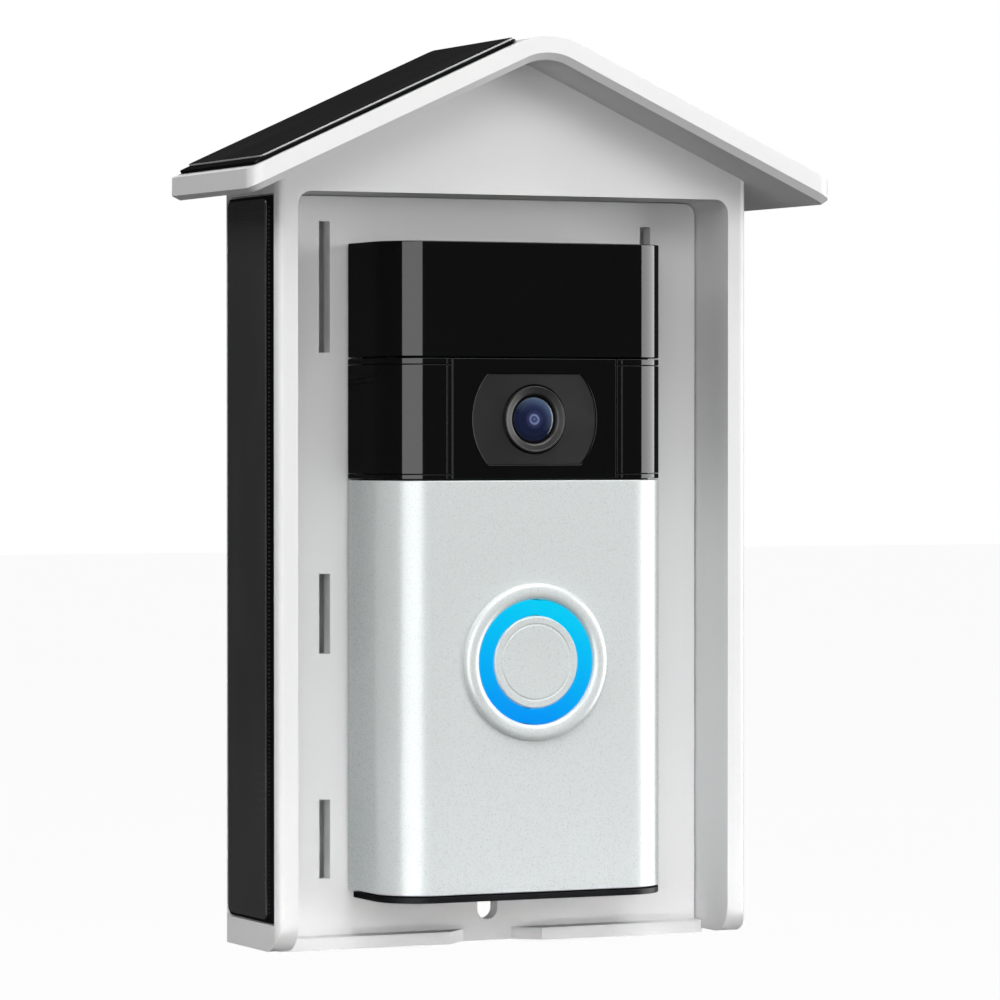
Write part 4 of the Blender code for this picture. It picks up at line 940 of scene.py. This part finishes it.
@dataclass
class Housing:
    """The doorbell's covers: gloss-black cap and band above the silver faceplate."""

    corner: float = 0.009
    corner_steps: int = 24
    wall: float = 0.0015
    ease: float = 0.00022
    band_top: float = 0.0011
    band_foot: float = 0.0010
    seam: float = 0.00014
    frame: float = 0.0012
    window_fit: float = 0.00015
    groove_depth: float = 0.0004
    bezel_overlap: float = 0.0009
    screw_height: float = 0.0006
    hexagon_depth: float = 0.0008

    def build(self) -> None:
        """Make the covers and the chassis."""
        cap = self.sleeve("upper_cover", closed=True)
        piece = Piece("upper_cover_fine", GLOSS_BLACK, ("upper_cover",), ease=self.ease, wall=self.wall)
        piece.make(cap)
        self.band()
        self.faceplate()
        Piece("chassis_fine", BLACK, ("chassis",), ease=0.00015, segments=2).make(copied("chassis"))
        self.security_screw()

    def sleeve(
        self, node: str, closed: bool = False, limits: Corner | None = None
    ) -> bmesh.types.BMesh:
        """Front and sides of a cover, as a skin.

        Args:
            node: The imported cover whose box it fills.
            closed: Whether it has a top.
            limits: Lowest and highest Z, where they aren't the cover's own.

        Returns:
            The new bmesh.
        """
        low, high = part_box(node)
        if limits:
            low.z, high.z = limits
        bm = block(low, high)
        upright = [
            edge
            for edge in bm.edges
            if all(abs(vert.co.y - low.y) < MERGE for vert in edge.verts)
            and abs(edge.verts[0].co.x - edge.verts[1].co.x) < MERGE
        ]
        soften(bm, upright, self.corner, self.corner_steps)
        openings = [
            face
            for face in bm.faces
            if face.normal.y > 0.999 or face.normal.z < -0.9 or (face.normal.z > 0.9 and not closed)
        ]
        bmesh.ops.delete(bm, geom=openings, context="FACES")
        return bm

    def band(self) -> None:
        """Make the black band, with fine seams round it and the recess that its window sits in."""
        low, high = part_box("camera_cover")
        window_low, window_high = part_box("camera_window")
        top, foot, gap = self.band_top, self.band_foot, self.seam
        front, below, above = low.y - PAST, low.z - PAST, high.z + PAST
        strips = (
            (low.z, low.z + foot - gap),
            (low.z + foot, high.z - top - gap),
            (high.z - top, high.z),
        )
        whole = bmesh.new()
        for strip in strips:
            part = self.sleeve("camera_cover", limits=strip)
            mesh = bpy.data.meshes.new("strip")
            part.to_mesh(mesh)
            part.free()
            whole.from_mesh(mesh)
            bpy.data.meshes.remove(mesh)
        fit = self.window_fit
        recess = block(
            (window_low.x - fit, front, below),
            (window_high.x + fit, window_high.y, above),
        )
        cuts = [recess]
        for x in (window_low.x - self.frame, window_high.x + self.frame):
            groove = block((x - fit / 2, front, below), (x + fit / 2, low.y + self.groove_depth, above))
            cuts.append(groove)
        piece = Piece("camera_cover_fine", GLOSS_BLACK, ("camera_cover",), ease=0.00008, wall=self.wall)
        piece.make(whole, cuts)

    def faceplate(self) -> None:
        """Make the silver cover with the round opening for the button."""
        low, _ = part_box("faceplate")
        bezel_low, bezel_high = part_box("button_bezel")
        centre = middle("button_bezel")
        radius = (bezel_high.x - bezel_low.x) / 2 - self.bezel_overlap
        opening = bar(radius, low.y - PAST, low.y + 2 * self.wall, (centre.x, centre.z))
        piece = Piece("faceplate_fine", SILVER, ("faceplate",), ease=self.ease, wall=self.wall)
        piece.make(self.sleeve("faceplate"), [opening])

    def security_screw(self) -> None:
        """Make the small screw in the floor, with a six-sided recess."""
        low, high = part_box("security_screw")
        centre = middle("security_screw")
        radius = (high.x - low.x) / 2
        bm = bmesh.new()
        bmesh.ops.create_cone(
            bm,
            cap_ends=True,
            segments=SCREW_STEPS,
            radius1=radius,
            radius2=radius,
            depth=self.screw_height,
        )
        raised = (centre.x, centre.y, low.z + self.screw_height / 2)
        bmesh.ops.translate(bm, vec=raised, verts=bm.verts)
        hexagon = bmesh.new()
        bmesh.ops.create_cone(
            hexagon,
            cap_ends=True,
            segments=6,
            radius1=radius / 2,
            radius2=radius / 2,
            depth=self.hexagon_depth,
        )
        bmesh.ops.translate(hexagon, vec=(centre.x, centre.y, low.z), verts=hexagon.verts)
        piece = Piece("security_screw_fine", STEEL, ("security_screw",), ease=0.00008, segments=2)
        piece.make(bm, [hexagon])


@dataclass
class Camera:
    """Window, surround, ring and domed lens of the doorbell's camera."""

    ring_gap: float = 0.0003
    ring_step: float = 0.0001
    window_gap: float = 0.00006
    lens_gap: float = 0.00025
    lens_steps: int = 14
    dome: float = 0.0007
    axis: Corner = (0.0, 0.0)

    def build(self) -> None:
        """Make the pieces of the camera that show."""
        centre = middle("lens")
        self.axis = (centre.x, centre.z)
        self.window()
        self.surround()
        self.ring()
        self.lens()

    def barrel(
        self, radius: float, half_height: float, front: float, back: float
    ) -> bmesh.types.BMesh:
        """Disc along Y with its top and bottom cut flat.

        Args:
            radius: The disc's radius.
            half_height: From its middle to each flat.
            front: Y of its front.
            back: Y of its back.

        Returns:
            The new bmesh.
        """
        bm = bar(radius, front, back, self.axis)
        for side in (-1, 1):
            bmesh.ops.bisect_plane(
                bm,
                geom=[*bm.verts, *bm.edges, *bm.faces],
                plane_co=(0.0, 0.0, self.axis[1] + side * half_height),
                plane_no=(0.0, 0.0, side),
                clear_outer=True,
            )
            rim = [edge for edge in bm.edges if edge.is_boundary]
            bmesh.ops.holes_fill(bm, edges=rim, sides=0)
        bmesh.ops.dissolve_limit(bm, angle_limit=FLAT, verts=bm.verts, edges=bm.edges)
        bmesh.ops.recalc_face_normals(bm, faces=bm.faces)
        return bm

    def window(self) -> None:
        """Make the black window with its barrel-shaped opening."""
        low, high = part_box("camera_window")
        surround_low, surround_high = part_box("camera_surround")
        radius = (surround_high.x - surround_low.x) / 2 + self.window_gap
        half = (surround_high.z - surround_low.z) / 2 + self.window_gap
        opening = self.barrel(radius, half, low.y - PAST, high.y + PAST)
        piece = Piece("camera_window_fine", GLOSS_BLACK, ("camera_window",), ease=0.00012)
        piece.make(block(low, high), [opening])

    def surround(self) -> None:
        """Make the satin surround with the round opening for the lens ring."""
        low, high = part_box("camera_surround")
        ring_low, ring_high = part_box("lens_ring")
        radius = (high.x - low.x) / 2
        shape = self.barrel(radius, (high.z - low.z) / 2, low.y, high.y)
        hole_radius = (ring_high.x - ring_low.x) / 2 + self.ring_gap
        hole = bar(hole_radius, low.y - PAST, high.y + PAST, self.axis)
        piece = Piece("camera_surround_fine", DARK, ("camera_surround",), ease=0.00012)
        piece.make(shape, [hole])

    def ring(self) -> None:
        """Make the ring around the lens, with a rounded crest and two fine steps inside."""
        low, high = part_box("lens_ring")
        radius = (high.x - low.x) / 2
        inner = (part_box("lens")[1].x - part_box("lens")[0].x) / 2 + self.ring_gap
        front = low.y
        step = self.ring_step
        profile = [
            (inner, front + 10 * step),
            (inner + step, front + 5 * step),
            (inner + 4 * step, front + 3 * step),
            (radius - 4 * step, front + step),
            (radius - 3 * step, front),
            (radius - step, front),
            (radius, front + 2 * step),
            (radius, high.y),
            (inner, high.y),
        ]
        piece = Piece(
            "lens_ring_fine",
            RING_BLACK,
            ("lens_ring",),
            ease=0.0001,
            angle=math.radians(20),
            slot="black_plastic",
        )
        piece.make(turned(profile, self.axis))

    def lens(self) -> None:
        """Make the domed lens."""
        low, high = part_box("lens")
        radius = (high.x - low.x) / 2 + self.lens_gap
        front = low.y
        arc = [step * math.pi / 2 / self.lens_steps for step in range(self.lens_steps)]
        profile = [(0.0, high.y), (radius, high.y)]
        profile += [
            (radius * math.cos(turn), front + self.dome * (1 - math.sin(turn))) for turn in arc
        ]
        profile.append((0.0, front))
        glass = LensGlass(
            "lens_glass_coated",
            DARK_GLASS.colour,
            rough=(0.03, 0.06),
            grain=Grain.POLISHED,
            coat=1.0,
            centre=(self.axis[0], front, self.axis[1]),
            radius=radius,
        )
        piece = Piece("lens_fine", glass, ("lens",), ease=0.00005, slot="lens_glass")
        piece.make(turned(profile, self.axis))


@dataclass
class Button:
    """Round button: silver bezel, lit ring and grooved cap."""

    groove: float = 0.0073
    groove_depth: float = 0.00025
    groove_reach: float = 0.00025
    groove_floor: float = 0.0001
    cap_dish: float = 0.00012
    cap_rim: float = 0.0003
    cap_plate: float = 0.0016
    post_radius: float = 0.0022
    ring_gap: float = 0.00015
    ring_crown: float = 0.00008
    bezel_lip: float = 0.0012
    bezel_sink: float = 0.0001
    crest_steps: int = 16
    crest_fullness: float = 0.8
    axis: Corner = (0.0, 0.0)

    def build(self) -> None:
        """Make the pieces of the button that show."""
        centre = middle("button_bezel")
        self.axis = (centre.x, centre.z)
        self.bezel()
        self.ring()
        self.cap()

    def bezel(self) -> None:
        """Make the rounded silver bezel."""
        low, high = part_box("button_bezel")
        ring_low, ring_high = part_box("light_ring")
        outer = (high.x - low.x) / 2
        inner = (ring_high.x - ring_low.x) / 2 + self.ring_gap
        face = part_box("faceplate")[0].y
        crest = low.y
        lip = outer - self.bezel_lip
        under = face - self.bezel_sink
        half = (outer - inner) / 2
        arc = [step * math.pi / self.crest_steps for step in range(self.crest_steps + 1)]
        profile = [
            (
                inner + half * (1 - math.cos(turn)),
                face - (face - crest) * math.sin(turn) ** self.crest_fullness,
            )
            for turn in arc
        ]
        profile += [(outer, under), (lip, under), (lip, high.y), (inner, high.y)]
        piece = Piece("button_bezel_fine", SILVER, ("button_bezel",), ease=0.00005, segments=2)
        piece.make(turned(profile, self.axis))

    def ring(self) -> None:
        """Make the lit ring, slightly crowned."""
        low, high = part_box("light_ring")
        cap_low, cap_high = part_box("button_cap")
        outer = (high.x - low.x) / 2
        inner = (cap_high.x - cap_low.x) / 2 + self.ring_gap
        crown = self.ring_crown
        profile = [
            (inner, low.y + crown),
            (inner + (outer - inner) * 0.3, low.y),
            (inner + (outer - inner) * 0.7, low.y),
            (outer, low.y + crown),
            (outer, high.y),
            (inner, high.y),
        ]
        light = RingLight(
            "light_blue",
            (0.0, 0.01, 0.015),
            specular=0.1,
            rough=(0.3, 0.4),
            grain=Grain.SATIN,
            low=low.z,
            high=high.z,
        )
        Piece("light_ring_fine", light, ("light_ring",), ease=0.00008).make(turned(profile, self.axis))

    def cap(self) -> None:
        """Make the pressed cap with its fine round groove and its post."""
        low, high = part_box("button_cap")
        radius = (high.x - low.x) / 2
        groove = self.groove
        front = low.y
        floor = front + self.groove_depth
        back = front + self.cap_plate
        profile = [
            (0.0, front + self.cap_dish),
            (groove * 0.6, front + self.cap_dish / 2),
            (groove - self.groove_reach, front),
            (groove - self.groove_floor, floor),
            (groove + self.groove_floor, floor),
            (groove + self.groove_reach, front),
            (radius - self.cap_rim, front),
            (radius, front + self.cap_rim),
            (radius, back),
            (self.post_radius, back),
            (self.post_radius, high.y),
            (0.0, high.y),
        ]
        piece = Piece(
            "button_cap_fine", SILVER, ("button_cap",), body="button", ease=0.00005, segments=2
        )
        piece.make(turned(profile, self.axis))


def dress_packed_nodes() -> None:
    """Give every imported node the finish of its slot.

    The lit ring's node, which is hidden, takes the silver finish.
    """
    for subpart in frame["record"]["subparts"]:
        node = frame["nodes"][subpart["node"]]
        finish = FINISHES.get(subpart["material_slot"], SILVER)
        node.data.materials.clear()
        node.data.materials.append(finish.material())


# ---------------------------------------------------------------- studio


@dataclass
class Lamp:
    """One soft area lamp aimed at the doorbell."""

    name: str
    azimuth: float
    elevation: float
    distance: float
    width: float
    height: float
    radiance: float
    diffuse: bool = True
    glossy: bool = True
    spread: float = 180.0
    drop: float = 0.0

    def build(self, target: Vector) -> None:
        """Place the lamp.

        Args:
            target: The point that it faces.
        """
        light = bpy.data.lights.new(self.name, "AREA")
        light.shape = "RECTANGLE"
        light.size = self.width
        light.size_y = self.height
        light.spread = math.radians(self.spread)
        light.energy = self.radiance * math.pi * self.width * self.height
        thing = bpy.data.objects.new(self.name, light)
        bpy.context.scene.collection.objects.link(thing)
        a, e = math.radians(self.azimuth), math.radians(self.elevation)
        back = Vector((math.sin(a) * math.cos(e), -math.cos(a) * math.cos(e), math.sin(e)))
        thing.location = target + back * self.distance - Vector((0.0, 0.0, self.drop))
        thing.rotation_mode = "QUATERNION"
        thing.rotation_quaternion = (-back).to_track_quat("-Z", "Y")
        thing.visible_camera = False
        thing.visible_diffuse = self.diffuse
        thing.visible_glossy = self.glossy


@dataclass
class Studio:
    """Pale floor, soft lamps and the camera."""

    floor_drop: float = 0.45
    floor_size: float = 40.0
    floor_glow: float = 0.84
    sky_seen: float = 1.0
    sky_light: float = 0.16
    sky_gloss: float = 0.03
    camera_yaw: float = 25.0
    camera_pitch: float = 0.80
    camera_distance: float = 0.9922
    camera_shift: float = 0.0075
    camera_height: float = 0.0271
    camera_lens: float = 180.0

    def build(self) -> None:
        """Set up the floor, the light and the camera."""
        bpy.context.scene.view_settings.view_transform = "Standard"
        target = middle("shelter_shell")
        self.floor()
        self.sky()
        lamps = (
            Lamp("left_wash", -75.0, 35.0, 1.3, 0.6, 0.6, 4.6, glossy=False),
            Lamp("left_key", -38.0, 22.0, 1.3, 0.6, 0.6, 2.2, glossy=False),
            Lamp("low_front", -15.0, 0.0, 1.3, 0.6, 0.6, 1.6, glossy=False),
            Lamp("front_key", 0.0, 35.0, 1.3, 0.6, 0.6, 2.9, glossy=False),
            Lamp("top_key", 0.0, 66.0, 1.3, 0.6, 0.6, 7.2, glossy=False),
            Lamp("right_fill", 50.0, 4.0, 1.3, 0.6, 0.6, 6.4, glossy=False),
            Lamp(
                "foot_fill", -22.0, -14.0, 1.0, 0.5, 0.06, 0.75, glossy=False, spread=12.0, drop=0.125
            ),
            Lamp("back_fill", 180.0, 4.0, 1.3, 0.6, 0.6, 5.0, glossy=False),
            Lamp("left_strip", -35.0, 0.0, 1.0, 0.91, 1.0, 3.0, diffuse=False),
            Lamp("right_strip", 77.0, 0.0, 1.0, 0.93, 1.0, 4.6, diffuse=False),
            Lamp("top_strip", 25.0, 62.0, 1.0, 1.4, 0.5, 4.6, diffuse=False),
        )
        for lamp in lamps:
            lamp.build(target)
        self.camera()

    def floor(self) -> None:
        """Pale floor, well below the doorbell that hangs on its wall."""
        bm = bmesh.new()
        bmesh.ops.create_grid(bm, x_segments=4, y_segments=4, size=self.floor_size / 2)
        bmesh.ops.translate(bm, vec=(0.0, 0.0, CAD_BOX[0].z - self.floor_drop), verts=bm.verts)
        mesh = bpy.data.meshes.new("floor")
        bm.to_mesh(mesh)
        bm.free()
        thing = bpy.data.objects.new("floor", mesh)
        bpy.context.scene.collection.objects.link(thing)
        graph = Graph("floor_paper")
        tone = graph.ramp(graph.noise(2.0, 3.0), ((0.3, (0.80, 0.80, 0.80)), (0.7, (0.82, 0.82, 0.82))))
        graph.link(tone, graph.shader.inputs["Base Color"])
        graph.shader.inputs["Roughness"].default_value = 0.9
        graph.shader.inputs["Emission Color"].default_value = (1.0, 1.0, 1.0, 1.0)
        graph.shader.inputs["Emission Strength"].default_value = self.floor_glow
        mesh.materials.append(graph.material)
        thing.visible_glossy = False
        thing.visible_diffuse = False

    def sky(self) -> None:
        """White surroundings: bright behind the doorbell, soft as light, dim in reflections."""
        world = bpy.data.worlds.new("studio")
        bpy.context.scene.world = world
        world.use_nodes = True
        tree = world.node_tree
        back = tree.nodes["Background"]
        path = tree.nodes.new("ShaderNodeLightPath")
        glossy = tree.nodes.new("ShaderNodeMix")
        glossy.inputs["A"].default_value = self.sky_light
        glossy.inputs["B"].default_value = self.sky_gloss
        tree.links.new(path.outputs["Is Glossy Ray"], glossy.inputs["Factor"])
        seen = tree.nodes.new("ShaderNodeMix")
        seen.inputs["B"].default_value = self.sky_seen
        tree.links.new(path.outputs["Is Camera Ray"], seen.inputs["Factor"])
        tree.links.new(glossy.outputs["Result"], seen.inputs["A"])
        tree.links.new(seen.outputs["Result"], back.inputs["Strength"])
        back.inputs["Color"].default_value = (1.0, 1.0, 1.0, 1.0)

    def camera(self) -> None:
        """Camera in front of the doorbell and to its left."""
        yaw, pitch = math.radians(self.camera_yaw), math.radians(self.camera_pitch)
        ahead = Vector((math.sin(yaw), math.cos(yaw), 0.0))
        right = Vector((math.cos(yaw), -math.sin(yaw), 0.0))
        data = bpy.data.cameras.new("view")
        data.lens = self.camera_lens
        data.sensor_width = 36.0
        thing = bpy.data.objects.new("view", data)
        bpy.context.scene.collection.objects.link(thing)
        thing.location = right * self.camera_shift - ahead * self.camera_distance
        thing.location.z = self.camera_height
        aim = ahead * math.cos(pitch) - Vector((0.0, 0.0, math.sin(pitch)))
        thing.rotation_mode = "QUATERNION"
        thing.rotation_quaternion = aim.to_track_quat("-Z", "Y")
        bpy.context.scene.camera = thing


def main() -> None:
    """Build every sub-assembly in order."""
    logging.basicConfig(level=logging.INFO, format="%(name)s %(message)s")
    dress_packed_nodes()
    for assembly in (Shelter(), SolarPanels(), Housing(), Camera(), Button(), Studio()):
        LOG.info("building %s", type(assembly).__name__)
        assembly.build()
    bpy.context.view_layer.update()


if __name__ == "__main__":
    main()
